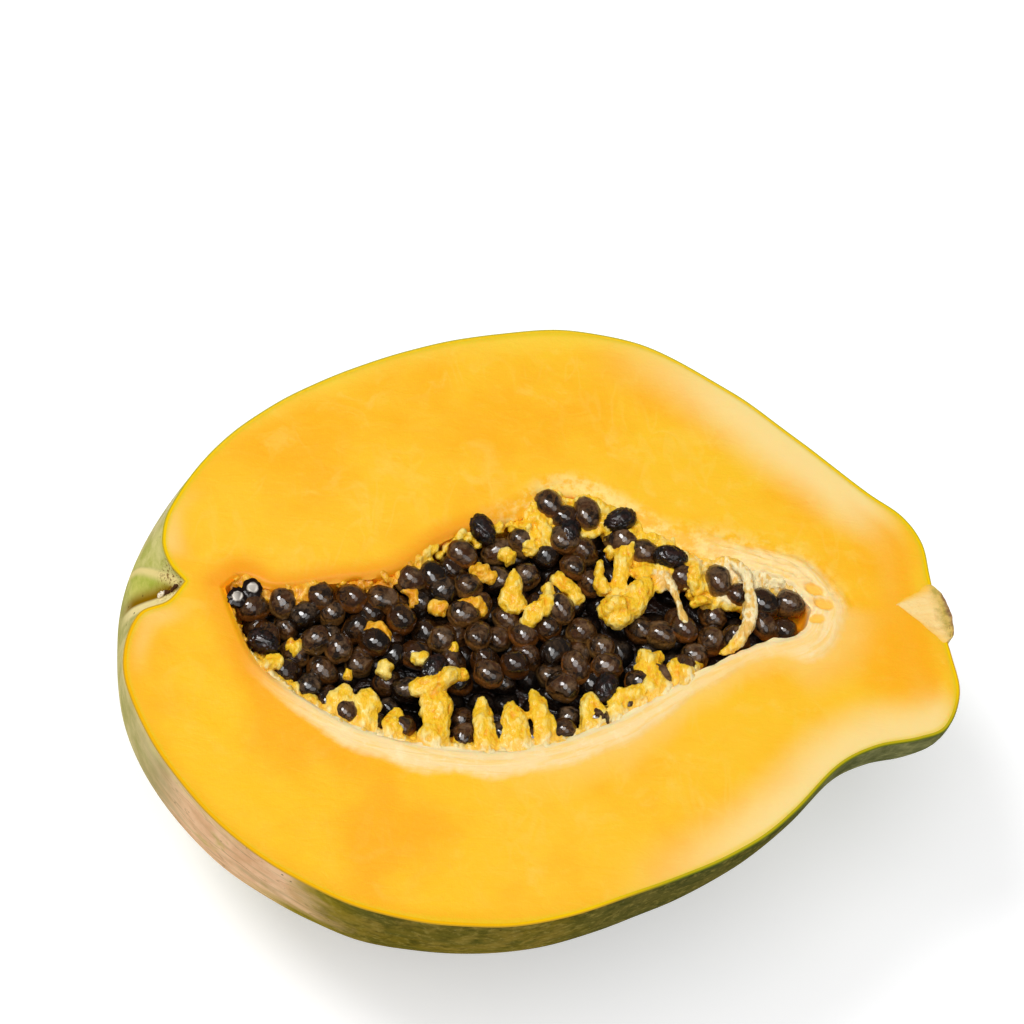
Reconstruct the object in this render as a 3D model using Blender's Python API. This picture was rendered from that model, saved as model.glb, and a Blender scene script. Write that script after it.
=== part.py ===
"""Cut half of a papaya lying on its skin: skin, flesh, seed heap and stem stub.

The long axis is X with the stem end at +X, the near edge of the cut face is -Y,
and the cut face looks up (+Z).  Lengths in the tables are millimetres.
"""
import math
import random

import bmesh
import bpy
from mathutils import Matrix, Vector

MM = 0.001

# --- size of the fruit half -------------------------------------------------
# Lines from the blossom navel to the stem, as (place along X, distance from the axis).
NEAR_EDGE = ((-78.5, 0), (-82, 5), (-88, 8.5), (-91, 17), (-90, 26.5), (-82.5, 42),
             (-70.5, 57), (-55.5, 68), (-39, 75.3), (-19, 77.7), (1, 76), (23, 68),
             (42, 58), (53, 49.5), (63, 39), (72, 33.8), (81, 31.5), (87.5, 28.3),
             (91, 20), (90, 11), (87.5, 0))
FAR_EDGE = ((-78.5, 0), (-82, 4.3), (-83.6, 10), (-81.8, 18.5), (-73, 33), (-60.5, 45),
            (-46, 54), (-30, 61), (-10, 66.2), (8, 68.2), (26, 65), (45, 54),
            (60, 41.8), (74, 29.5), (81.5, 23.5), (85.4, 17), (86.5, 9), (87.5, 0))
KEEL = ((-78.5, 0), (-84, 7), (-89.8, 15), (-92, 26), (-89.5, 38.5), (-81, 50.5),
        (-68.5, 60.8), (-52, 68.3), (-33, 72.6), (-10, 74.5), (11, 72.2), (27, 66.5),
        (41, 57.5), (52, 47.5), (62, 38.5), (72, 33.8), (82, 31.2), (89, 22.5),
        (89.5, 11), (87.5, 0))
LOBE_COUNT = 5
LOBE_MID = 0.016            # swelling of the lobes at mid length
LOBE_BLOSSOM = 0.05         # and at the blossom end
LOBE_STEM = 0.11            # and around the neck
CUT_HEIGHT = 74.8           # cut face above the floor, after the flat spot
SHIFT = (0.43, 4.78)        # puts the frame's origin under the middle of the fruit

# --- layers -----------------------------------------------------------------
SKIN_THICKNESS = 1.7
GAP = 0.3                   # clearance between separate pieces
RINGS = 36
SIDE_STEPS = 16

# --- seed hollow, as (place along X, distance from the axis) ------------------
HOLLOW_NEAR = ((-69.8, 1), (-67.5, 8), (-62.5, 18.5), (-52, 27), (-38.5, 34),
               (-21, 37.4), (-6, 36.8), (13, 30), (32.5, 17.4), (46, 9.8),
               (56.5, 6), (59.2, 0.5))
HOLLOW_FAR = ((-69.8, -1), (-66, 1.6), (-59, -0.8), (-46, 1.5), (-33, 4.5), (-22, 13),
              (-12, 17.5), (-4, 20.5), (3, 26), (10, 25.5), (20, 19.5), (31, 12.5),
              (43, 9), (54, 5.5), (59.2, -0.5))
HOLLOW_DEPTH = ((-69.8, 0), (-66, 9), (-56, 18), (-42, 25.5), (-25, 30.5), (-5, 32),
                (15, 28.5), (33, 20.5), (47, 12.5), (56, 7), (59.2, 0))
HOLLOW_RINGS = 22
HOLLOW_STEPS = 10

# --- strands of pulp that reach from the wall over the seeds -------------------
# (X at the wall, shift along X at the tip, reach, radius)
NEAR_STRANDS = ((-46.5, 2.5, 8.0, 1.4), (-40.5, 2.5, 10.0, 1.5), (-34.0, 2.0, 8.0, 1.4),
                (-25.0, 1.0, 15.0, 1.9), (-11.5, -1.5, 13.0, 1.6), (-7.0, -1.5, 11.0, 2.0),
                (0.5, -3.0, 13.0, 1.7), (11.0, -2.0, 9.0, 1.6), (16.0, -2.0, 7.0, 1.5),
                (24.5, -3.5, 9.5, 1.8), (30.5, -2.0, 6.0, 1.4))
FAR_STRANDS = ((-53.0, 1.0, 4.5, 1.6), (19.0, -4.0, 24.0, 1.9), (28.5, -3.0, 11.0, 1.9),
               (35.5, -1.5, 9.0, 1.5), (44.5, 1.0, 15.0, 1.4))
STRAND_ROOT = 4.0           # how far a strand is sunk in the wall
STRAND_LEVEL = -3.4         # height of the strand roots, from the cut face
STRAND_TIP_LEVEL = -2.2
STRAND_SIDES = 7

# --- seeds --------------------------------------------------------------------
SEED_HALF_WIDTH = 3.1
SEED_HALF_LENGTH = 3.6
SEED_FULLER = 1.07          # the few-sided grains are this much larger, for equal volume
SEED_REACH = 5.15           # closest distance of two seed centres
SEED_WALL_ROOM = 4.5        # seed centre to the hollow's wall
SEED_FLOOR = -9.4           # lowest seed centre, from the cut face
SEED_CEILING = -2.3         # highest seed centre
SEED_TRIES = 60
SEED_LIMIT = 175
SEED_RANDOM = 41
HEAP_CORE_TOP = -8.6
HEAP_CORE_ROOM = 1.3

# --- stem stub ------------------------------------------------------------------
STUB_PROFILE = ((79.2, 0), (82.2, 2.7), (85.4, 5.7), (87.2, 7.0), (88.9, 6.6),
                (90.3, 4.4), (90.9, 0))
STUB_SHIFT_Y = -0.3
STUB_SIDES = 20


def clear_scene():
    for item in list(bpy.data.objects):
        bpy.data.objects.remove(item, do_unlink=True)


def material(name, color, roughness):
    made = bpy.data.materials.new(name)
    made.use_nodes = True
    shader = made.node_tree.nodes["Principled BSDF"]
    shader.inputs["Base Color"].default_value = (*color, 1.0)
    shader.inputs["Roughness"].default_value = roughness
    return made


def add_object(name, mesh_maker, coat=None):
    """Wrap a bmesh in a named object, scaled to metres and lifted to the cut height."""
    mesh_maker.transform(Matrix.Scale(MM, 4))
    mesh_maker.transform(Matrix.Translation((SHIFT[0] * MM, SHIFT[1] * MM, CUT_HEIGHT * MM)))
    bmesh.ops.recalc_face_normals(mesh_maker, faces=mesh_maker.faces)
    mesh = bpy.data.meshes.new(name)
    mesh_maker.to_mesh(mesh)
    mesh_maker.free()
    made = bpy.data.objects.new(name, mesh)
    bpy.context.scene.collection.objects.link(made)
    if coat is not None:
        mesh.materials.append(coat)
    return made


def smooth_line(points, places):
    """Points on a smooth line through the given ones, at shares of its length."""
    nodes = [Vector(p) for p in points]
    knots = [0.0]
    for a, b in zip(nodes, nodes[1:]):
        knots.append(knots[-1] + math.sqrt((b - a).length))
    slopes = []
    for i in range(len(nodes)):
        lo, hi = max(i - 1, 0), min(i + 1, len(nodes) - 1)
        slopes.append((nodes[hi] - nodes[lo]) / (knots[hi] - knots[lo]))
    fine = []
    for i in range(len(nodes) - 1):
        span = knots[i + 1] - knots[i]
        for k in range(16):
            s = k / 16
            fine.append(nodes[i] * (2 * s**3 - 3 * s**2 + 1)
                        + slopes[i] * span * (s**3 - 2 * s**2 + s)
                        + nodes[i + 1] * (3 * s**2 - 2 * s**3)
                        + slopes[i + 1] * span * (s**3 - s**2))
    fine.append(nodes[-1])
    run = [0.0]
    for a, b in zip(fine, fine[1:]):
        run.append(run[-1] + (b - a).length)
    found = []
    k = 0
    for place in places:
        goal = place * run[-1]
        while k < len(run) - 2 and run[k + 1] < goal:
            k += 1
        share = (goal - run[k]) / (run[k + 1] - run[k])
        found.append(fine[k].lerp(fine[k + 1], min(max(share, 0.0), 1.0)))
    return found


def end_dense(count):
    """Shares from 0 to 1, closer together near both ends."""
    even = [i / count for i in range(count + 1)]
    return [0.55 * e + 0.45 * (1 - math.cos(math.pi * e)) / 2 for e in even]


def round_body(near, far, keel, rings, steps, lobes=(0.0, 0.0, 0.0)):
    """Closed body around the X axis; its lower half follows the three lines."""
    places = end_dense(rings)
    lines = [smooth_line(line, places) for line in (near, far, keel)]
    body = bmesh.new()
    loops = []
    for i, place in enumerate(places):
        n, f, k = (line[i] for line in lines)
        if i in (0, rings):
            loops.append([body.verts.new((n.x, (f.y - n.y) / 2, 0))])
            continue
        half_width, middle = (n.y + f.y) / 2, (f.y - n.y) / 2
        end_swell = lobes[0] if place < 0.5 else lobes[2]
        swell = lobes[1] + (end_swell - lobes[1]) * abs(2 * place - 1) ** 2.5
        loop = []
        for step in range(2 * steps):
            turn = math.pi * step / steps
            c, s = math.cos(turn), math.sin(turn)
            edge, low = n.x if c > 0 else f.x, abs(s) ** 1.2
            lobe = 1 + swell * s * abs(s) * math.cos(LOBE_COUNT * (turn - math.pi / 2))
            loop.append(body.verts.new((edge + (k.x - edge) * low,
                                        middle - half_width * c * lobe,
                                        -k.y * s * lobe)))
        loops.append(loop)
    for lower, upper in zip(loops, loops[1:]):
        count = max(len(lower), len(upper))
        for j in range(count):
            ring = [lower[j % len(lower)], lower[(j + 1) % len(lower)],
                    upper[(j + 1) % len(upper)], upper[j % len(upper)]]
            body.faces.new(list(dict.fromkeys(ring)))
    bmesh.ops.recalc_face_normals(body, faces=body.faces)
    body.normal_update()
    return body


def shrink(body, depth):
    """Move every corner inward along its normal."""
    body.normal_update()
    moves = [(corner, corner.normal.copy()) for corner in body.verts]
    for corner, normal in moves:
        corner.co -= normal * depth


def keep_below(body, level):
    """Cut the body flat at a height and close the cut."""
    cut = bmesh.ops.bisect_plane(body, geom=body.verts[:] + body.edges[:] + body.faces[:],
                                 dist=1e-5, plane_co=(0, 0, level), plane_no=(0, 0, 1),
                                 clear_outer=True)
    rim = [item for item in cut["geom_cut"] if isinstance(item, bmesh.types.BMEdge)]
    bmesh.ops.contextual_create(body, geom=rim)


def keep_above(body, level):
    cut = bmesh.ops.bisect_plane(body, geom=body.verts[:] + body.edges[:] + body.faces[:],
                                 dist=1e-5, plane_co=(0, 0, level), plane_no=(0, 0, -1),
                                 clear_outer=True)
    rim = [item for item in cut["geom_cut"] if isinstance(item, bmesh.types.BMEdge)]
    bmesh.ops.contextual_create(body, geom=rim)


def fruit_body(inset=0.0):
    body = round_body(NEAR_EDGE, FAR_EDGE, KEEL, RINGS, SIDE_STEPS,
                      (LOBE_BLOSSOM, LOBE_MID, LOBE_STEM))
    if inset:
        shrink(body, inset)
    return body


def hollow_body(inset=0.0):
    body = round_body(HOLLOW_NEAR, HOLLOW_FAR, HOLLOW_DEPTH, HOLLOW_RINGS, HOLLOW_STEPS)
    if inset:
        shrink(body, inset)
    return body


def cylinder_between(start, end, start_radius, end_radius, sides):
    """Tapered rod with closed ends."""
    rod = bmesh.new()
    reach = Vector(end) - Vector(start)
    turn = reach.to_track_quat("Z", "X").to_matrix().to_4x4()
    place = Matrix.Translation((Vector(start) + Vector(end)) / 2) @ turn
    bmesh.ops.create_cone(rod, cap_ends=True, segments=sides, radius1=start_radius,
                          radius2=end_radius, depth=reach.length, matrix=place)
    return rod


def height_at(line, x):
    """Second coordinate of a smooth line at a place along X."""
    for a, b in zip(line, line[1:]):
        if a.x <= x <= b.x and b.x > a.x:
            return a.y + (b.y - a.y) * (x - a.x) / (b.x - a.x)
    return 0.0


def hollow_lines():
    """Near edge, far edge and depth of the hollow as closely spaced points."""
    places = [i / 80 for i in range(81)]
    return [smooth_line(line, places) for line in (HOLLOW_NEAR, HOLLOW_FAR, HOLLOW_DEPTH)]


def strand_ends():
    """Root and tip of every strand, with its radius."""
    ends = []
    near, far, _ = hollow_lines()
    for side, line, strands in ((-1, near, NEAR_STRANDS), (1, far, FAR_STRANDS)):
        for x, lean, reach, radius in strands:
            wall = side * height_at(line, x)
            root = Vector((x - lean * 0.3, wall + side * STRAND_ROOT, STRAND_LEVEL))
            tip = Vector((x + lean, wall - side * reach, STRAND_TIP_LEVEL))
            ends.append((root, tip, radius))
    return ends


def seed_places():
    """Let seeds fall one by one into the hollow; each rests on those below it."""
    chance = random.Random(SEED_RANDOM)
    near, far, depth = hollow_lines()
    outline = [(p.x, -p.y) for p in near] + [(p.x, p.y) for p in far]
    strands = strand_ends()
    seeds = []

    def landing(x, y):
        low, high, deep = -height_at(near, x), height_at(far, x), height_at(depth, x)
        if not low < y < high:
            return None
        if min(math.hypot(x - a, y - b) for a, b in outline) < SEED_WALL_ROOM:
            return None
        half, off = (high - low) / 2, abs(y - (high + low) / 2)
        level = max(SEED_FLOOR, SEED_WALL_ROOM - deep * math.sqrt(1 - (off / half) ** 2))
        resting = level < HEAP_CORE_TOP + 1.2
        for spot, _, _ in seeds:
            away = math.hypot(spot.x - x, spot.y - y)
            if away < SEED_REACH:
                touch = spot.z + math.sqrt(SEED_REACH**2 - away**2)
                if touch >= level:
                    level, resting = touch, True
        if level > SEED_CEILING or not resting:
            return None
        if half * math.sqrt(1 - min(level / deep, 0) ** 2) - off < SEED_WALL_ROOM:
            return None
        spot = Vector((x, y, level))
        for root, tip, radius in strands:
            along = tip - root
            share = min(max((spot - root).dot(along) / along.length_squared, 0.0), 1.0)
            if (spot - root - along * share).length < radius + SEED_WALL_ROOM - 0.4:
                return None
        return spot

    for _ in range(SEED_LIMIT):
        best = None
        for _ in range(SEED_TRIES):
            spot = landing(chance.uniform(-67, 56), chance.uniform(-36, 24))
            if spot is not None and (best is None or spot.z < best.z):
                best = spot
        turn = tuple(chance.uniform(-math.pi, math.pi) for _ in range(3))
        size = chance.uniform(0.92, 1.04)
        if best is not None:
            seeds.append((best, turn, size))
    return seeds


def join_by_boolean(target, collection_objects, operation="UNION"):
    """Apply one Boolean of a whole collection to the target, then remove the tools."""
    group = bpy.data.collections.new("tools")
    bpy.context.scene.collection.children.link(group)
    for item in collection_objects:
        for home in list(item.users_collection):
            home.objects.unlink(item)
        group.objects.link(item)
        item.hide_render = True
        item.display_type = "WIRE"
    change = target.modifiers.new("join", "BOOLEAN")
    change.operation = operation
    change.operand_type = "COLLECTION"
    change.collection = group
    change.solver = "EXACT"
    bpy.context.view_layer.objects.active = target
    with bpy.context.temp_override(object=target, active_object=target):
        bpy.ops.object.modifier_apply(modifier=change.name)
    for item in collection_objects:
        bpy.data.objects.remove(item, do_unlink=True)
    bpy.data.collections.remove(group)


def keep_largest_shell(target):
    """Fill sealed gaps between grains and drop loose scraps: only the main shell stays."""
    shell = bmesh.new()
    shell.from_mesh(target.data)
    waiting, groups = set(shell.verts), []
    while waiting:
        group, edge = set(), [next(iter(waiting))]
        while edge:
            corner = edge.pop()
            if corner in waiting:
                waiting.discard(corner)
                group.add(corner)
                edge.extend(line.other_vert(corner) for line in corner.link_edges)
        groups.append(group)
    main = max(groups, key=len)
    bmesh.ops.delete(shell, geom=[corner for corner in shell.verts if corner not in main],
                     context="VERTS")
    shell.to_mesh(target.data)
    shell.free()


def make_stub(room=0.0):
    """Round stem root and cap; with room it is the cutter of its socket."""
    stub = bmesh.new()
    first = STUB_PROFILE[0][0] - room
    last = STUB_PROFILE[-1][0] + (4.0 if room else 0.0)
    profile = [(x, r + room) for x, r in STUB_PROFILE[1:-1]]
    start = stub.verts.new((first, STUB_SHIFT_Y, 0))
    finish = stub.verts.new((last, STUB_SHIFT_Y, 0))
    loops = []
    for x, radius in profile:
        loops.append([stub.verts.new((x, STUB_SHIFT_Y - radius * math.cos(2 * math.pi * j / STUB_SIDES),
                                      radius * math.sin(2 * math.pi * j / STUB_SIDES)))
                      for j in range(STUB_SIDES)])
    for j in range(STUB_SIDES):
        after = (j + 1) % STUB_SIDES
        stub.faces.new((start, loops[0][j], loops[0][after]))
        stub.faces.new((finish, loops[-1][after], loops[-1][j]))
        for a, b in zip(loops, loops[1:]):
            stub.faces.new((a[j], b[j], b[after], a[after]))
    bmesh.ops.recalc_face_normals(stub, faces=stub.faces)
    return stub


def build():
    clear_scene()
    green = material("papaya skin", (0.20, 0.27, 0.05), 0.45)
    orange = material("papaya flesh", (1.0, 0.52, 0.03), 0.4)
    dark = material("papaya seed", (0.03, 0.018, 0.012), 0.25)
    tan = material("papaya stem", (0.45, 0.36, 0.12), 0.8)

    outer = fruit_body()
    keep_below(outer, 0.0)
    keep_above(outer, -CUT_HEIGHT)
    skin = add_object("skin", outer, green)
    core = add_object("skin_core", fruit_body(SKIN_THICKNESS))
    socket = add_object("skin_socket", make_stub(GAP))
    join_by_boolean(skin, [core, socket], "DIFFERENCE")

    inner = fruit_body(SKIN_THICKNESS + GAP)
    keep_below(inner, 0.0)
    flesh = add_object("flesh", inner, orange)
    hollow = add_object("hollow", hollow_body())
    socket = add_object("flesh_socket", make_stub(GAP))
    join_by_boolean(flesh, [hollow, socket], "DIFFERENCE")
    rods = [add_object("strand", cylinder_between(root, tip, radius * 1.25, radius * 0.75,
                                                  STRAND_SIDES))
            for root, tip, radius in strand_ends()]
    join_by_boolean(flesh, rods)

    heap = hollow_body(HEAP_CORE_ROOM)
    keep_below(heap, HEAP_CORE_TOP)
    seeds = add_object("seeds", heap, dark)
    grains = []
    for spot, turn, size in seed_places():
        grain = bmesh.new()
        bmesh.ops.create_uvsphere(grain, u_segments=6, v_segments=4, radius=SEED_FULLER)
        grain.transform(Matrix.Diagonal((SEED_HALF_WIDTH * size, SEED_HALF_WIDTH * size,
                                         SEED_HALF_LENGTH * size, 1.0)))
        for angle, axis in zip(turn, "XYZ"):
            grain.transform(Matrix.Rotation(angle, 4, axis))
        grain.transform(Matrix.Translation(spot))
        grains.append(add_object("seed", grain))
    join_by_boolean(seeds, grains)
    keep_largest_shell(seeds)

    stub = make_stub()
    keep_below(stub, 0.0)
    add_object("stem_stub", stub, tan)


build()
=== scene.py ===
"""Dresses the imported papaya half: waxy skin, moist flesh, pulp strands, wet seeds and the stem end.

The long axis is X with the stem end at +X, the near edge of the cut face is -Y and the cut face
looks up (+Z).  Lengths in the shape tables are millimetres; Blender's own units are metres.
"""
import math
import random

import bmesh
import bpy
import numpy as np
from mathutils import Matrix, Vector, noise
from mathutils.kdtree import KDTree


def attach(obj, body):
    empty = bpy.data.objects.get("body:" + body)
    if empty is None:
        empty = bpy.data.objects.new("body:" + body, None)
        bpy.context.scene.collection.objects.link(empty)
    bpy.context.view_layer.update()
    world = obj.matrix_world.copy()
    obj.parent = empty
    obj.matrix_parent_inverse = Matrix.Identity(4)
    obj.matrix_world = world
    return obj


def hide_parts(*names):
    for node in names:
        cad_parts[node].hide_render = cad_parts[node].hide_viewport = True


bl_info = {
    "name": "Papaya half",
    "version": (1, 0, 0),
    "blender": (4, 5, 0),
    "location": "View3D > Sidebar > Papaya",
    "description": "Builds the skin, flesh, pulp, seeds and stem of a cut papaya half",
    "category": "Add Mesh",
}

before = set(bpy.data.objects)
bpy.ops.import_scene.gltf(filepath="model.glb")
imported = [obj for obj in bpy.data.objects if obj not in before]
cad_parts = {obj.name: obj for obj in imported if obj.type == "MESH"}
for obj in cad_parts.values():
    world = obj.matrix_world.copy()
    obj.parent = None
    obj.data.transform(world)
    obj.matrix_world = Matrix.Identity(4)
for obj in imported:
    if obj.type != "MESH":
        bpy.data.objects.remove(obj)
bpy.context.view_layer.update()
MM = 0.001

# --- form of the fruit half, as in its solids
NEAR_EDGE = ((-78.5, 0), (-82, 5), (-88, 8.5), (-91, 17), (-90, 26.5), (-82.5, 42),
             (-70.5, 57), (-55.5, 68), (-39, 75.3), (-19, 77.7), (1, 76), (23, 68),
             (42, 58), (53, 49.5), (63, 39), (72, 33.8), (81, 31.5), (87.5, 28.3),
             (91, 20), (90, 11), (87.5, 0))
FAR_EDGE = ((-78.5, 0), (-82, 4.3), (-83.6, 10), (-81.8, 18.5), (-73, 33), (-60.5, 45),
            (-46, 54), (-30, 61), (-10, 66.2), (8, 68.2), (26, 65), (45, 54),
            (60, 41.8), (74, 29.5), (81.5, 23.5), (85.4, 17), (86.5, 9), (87.5, 0))
KEEL = ((-78.5, 0), (-84, 7), (-89.8, 15), (-92, 26), (-89.5, 38.5), (-81, 50.5),
        (-68.5, 60.8), (-52, 68.3), (-33, 72.6), (-10, 74.5), (11, 72.2), (27, 66.5),
        (41, 57.5), (52, 47.5), (62, 38.5), (72, 33.8), (82, 31.2), (89, 22.5),
        (89.5, 11), (87.5, 0))
LOBE_COUNT = 5
LOBES = (0.05, 0.016, 0.11)     # swelling at the blossom end, mid length and neck
CUT_HEIGHT = 74.8
SHIFT = (0.43, 4.78)

HOLLOW_NEAR = ((-69.8, 1), (-67.5, 8), (-62.5, 18.5), (-52, 27), (-38.5, 34),
               (-21, 37.4), (-6, 36.8), (13, 30), (32.5, 17.4), (46, 9.8),
               (56.5, 6), (59.2, 0.5))
HOLLOW_FAR = ((-69.8, -1), (-66, 1.6), (-59, -0.8), (-46, 1.5), (-33, 4.5), (-22, 13),
              (-12, 17.5), (-4, 20.5), (3, 26), (10, 25.5), (20, 19.5), (31, 12.5),
              (43, 9), (54, 5.5), (59.2, -0.5))
HOLLOW_DEPTH = ((-69.8, 0), (-66, 9), (-56, 18), (-42, 25.5), (-25, 30.5), (-5, 32),
                (15, 28.5), (33, 20.5), (47, 12.5), (56, 7), (59.2, 0))

# --- strands: (X at the wall, shift along X at the tip, reach, radius)
NEAR_STRANDS = ((-46.5, 2.5, 8.0, 1.4), (-40.5, 2.5, 10.0, 1.5), (-34.0, 2.0, 8.0, 1.4),
                (-25.0, 1.0, 15.0, 1.9), (-13.2, -1.0, 14.0, 1.5), (-6.0, -1.5, 12.0, 1.9),
                (-0.2, -3.0, 13.5, 1.7), (11.0, -2.0, 9.0, 1.6), (16.0, -2.0, 7.0, 1.5),
                (24.5, -3.5, 9.5, 1.8), (30.5, -2.0, 6.0, 1.4))
FAR_STRANDS = ((-53.0, 1.0, 4.5, 1.6), (19.0, -4.0, 24.0, 1.9), (28.5, -3.0, 11.0, 1.9),
               (35.5, -1.5, 9.0, 1.5), (44.5, 1.0, 15.0, 1.4))
STRAND_ROOT = 4.0
STRAND_LEVEL = -3.4
STRAND_TIP_LEVEL = -2.2
STRAND_RANDOM = 50

# --- clumps of pulp between the seeds: points along each, then its radii
PULP_CLUMPS = (
    (((-30, -23.5, -1.6), (-23.5, -21.3, -0.4), (-17, -18.5, -1.4)), (1.9, 2.1, 2.3, 1.7)),
    (((-25, -30, -2.6), (-25, -26, -1.6), (-25.5, -23, -1.2)), (2.4, 2.3, 2.3)),
    (((-7.3, -3.5, -3.4), (-7, 1.5, -1.6), (-6.5, 6.8, -0.2)), (2.9, 2.6, 0.4)),
    (((-4.6, -7, -2.8), (-2.4, -4, -1.6), (0, -1.5, -1.4), (1.9, 2.4, -2.2)), (1.5, 2.2, 1.3)),
    (((0, 3.6, -2.2), (1.5, 1.8, -1.9)), (1.4, 1.2)),
    (((12.8, 10.6, -2.0), (12.4, 6.0, -1.4), (13.2, 1.6, -1.8)), (1.1, 1.4, 2.2)),
    (((13.5, 0.4, -2.6), (15.6, -2.6, -1.4), (17, -6, -2.4)), (2.8, 3.7, 2.6)),
    (((17.5, -3.5, -2.2), (20.5, 1.2, -1.6), (24.2, 6, -2.0)), (2.6, 2.7, 2.2)),
    (((19.5, 7.2, -2.4), (23.4, 8.4, -2.0), (26, 7.4, -2.4)), (1.5, 2.2, 1.2)),
    (((26.2, 7.4, -1.0), (28.4, 3.4, -0.6), (30, -1.4, -0.6), (31.7, -5.4, -1.6)), (1.3, 0.9, 1.1)),
    (((32.6, 11.4, -2.0), (33.3, 6.6, -1.4), (35.4, 3.7, -2.4)), (2.5, 2.3, 1.0)),
    (((32.2, -0.2, -1.8), (34.6, 0.9, -1.0), (37.4, 1.4, -1.8)), (1.0, 1.3, 0.9)),
    (((37.6, 11.4, -1.6), (42.2, 10.2, -0.2), (44.8, 6.8, 0.4), (45.5, 1.8, 0.8),
      (44.7, -4.4, 0.6), (42, -9.6, 0.0), (37.8, -12.2, -1.6)), (0.9, 1.2, 1.2, 1.5, 1.4, 1.1)),
    (((-56.3, -6, -3.6), (-54.4, -2.9, -2.4), (-52.2, -4.8, -3.4)), (1.7, 2.3, 1.4)),
    (((-56.2, -12.4, -3.2), (-53.2, -14.4, -2.6)), (1.5, 1.8)),
    (((-39.5, -8, -3.6), (-36.4, -9.4, -2.4), (-36.4, -13.2, -3.2)), (1.5, 2.3, 1.8)),
    (((-29.4, -15, -2.9), (-25.6, -15.6, -2.3)), (1.3, 1.6)),
    (((-22.2, -9, -3.2), (-19.6, -13.6, -2.8)), (1.4, 1.6)),
    (((-61.8, -20.4, -2.2), (-59.6, -18, -1.6), (-57.4, -16.2, -2.6)), (1.8, 2.0, 1.5)),
    (((28.4, -14.6, -2.0), (31.2, -18.4, -1.2), (29, -22.4, -1.2)), (1.5, 2.0, 1.8)),
    (((14, -24.2, -2.2), (20.4, -21.4, -1.8), (24, -18.6, -2.4)), (2.2, 2.5, 1.7)),
    (((-43.4, -21.8, -0.8), (-42.6, -19.4, -0.4)), (1.2, 1.1)),
    (((-30.6, 3.0, -3.2), (-28.6, 0.4, -2.4), (-29, -2.8, -3.4)), (1.3, 1.6, 1.2)),
    (((2.4, 12.6, -3.4), (0.8, 17.2, -2.4), (-0.6, 22.0, -1.8)), (1.5, 1.9, 2.1)),
    (((-25.2, -1.8, -2.9), (-21.4, -3.6, -2.1)), (1.6, 2.1)),
    (((-19.4, -3.4, -2.9), (-15.6, -2.0, -2.0), (-13.0, -3.8, -3.2)), (1.6, 2.0, 1.4)),
    (((-15.8, 7.8, -2.6), (-13.0, 5.4, -1.8), (-10.4, 5.0, -2.9)), (1.7, 2.3, 1.5)),
    (((2.2, 6.6, -2.7), (5.2, 3.6, -1.8), (8.4, -0.2, -2.6)), (1.5, 2.1, 1.7)),
    (((-35.8, -19.8, -2.8), (-34.0, -16.4, -2.3)), (1.7, 1.6)),
    (((-9.4, 12.0, -2.9), (-6.4, 9.6, -2.2)), (1.5, 2.0)),
    (((20.2, -12.2, -3.0), (23.2, -13.4, -2.1), (25.6, -11.4, -3.1)), (1.5, 2.0, 1.4)),
    (((-51.0, -9.4, -3.4), (-47.9, -11.2, -2.7)), (1.6, 1.9)),
)

# --- pulp that lines the walls: from X, to X, lumps, reach inward, slope, radii
NEAR_SHELF = (-62, 34, 260, 4.0, 0.75, (1.0, 1.8))
FAR_SHELF = (-4, 48, 200, 9.5, 0.20, (1.3, 2.3))
FAR_LEFT_SHELF = (-69.0, -6, 84, 2.6, 0.7, (0.8, 1.4))
FAR_TIP_SHELF = (46, 57.5, 44, 2.2, 1.2, (0.7, 1.2))
NEAR_LEFT_SHELF = (-68.6, -61, 26, 1.8, 1.6, (0.6, 1.0))
SHELF_RANDOM = 23

# --- girths along each strand, fibre and web, and the relief: (size, height) of its layers
STRAND_GIRTHS = (2.0, 1.15, 0.95, 1.05, 0.55)
FIBRE_GIRTHS = (0.62, 0.50, 0.44, 0.40, 0.24)
FIBRE_SIDES = (-1, 0.1, 1)
FIRST_FIBRE = 400
WEB_GIRTHS = (1.8, 1.1, 1.5)
WEB_SPAN = 6.3                  # widest gap between strands that a web bridges
PULP_RELIEF = ((2.8, 0.45), (1.2, 0.34), (0.6, 0.26))
FLOWER_RELIEF = ((0.7, 0.22), (0.3, 0.10))

# --- orange cells in the pale net at the stem end: X, Y, half length, lean in radians
NET_CELLS = ((60.0, 4.2, 2.3, -0.45), (61.9, 0.7, 2.3, -0.35), (60.2, -3.0, 1.9, 0.1))

# --- dried rest of the flower in the notch: points along each bit, then its radii
FLOWER_REST = (
    (((-84.0, -0.9, -6.2), (-83.2, -0.5, -5.4), (-82.7, -0.7, -5.0)), (0.35, 0.55, 0.30)),
    (((-82.9, -0.9, -5.2), (-82.2, -0.6, -4.4), (-81.4, -0.9, -3.6)), (0.45, 0.55, 0.35)),
    (((-81.4, -0.9, -3.4), (-80.6, -0.5, -2.2), (-79.9, -0.3, -1.0)), (0.30, 0.40, 0.25)),
)

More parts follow.
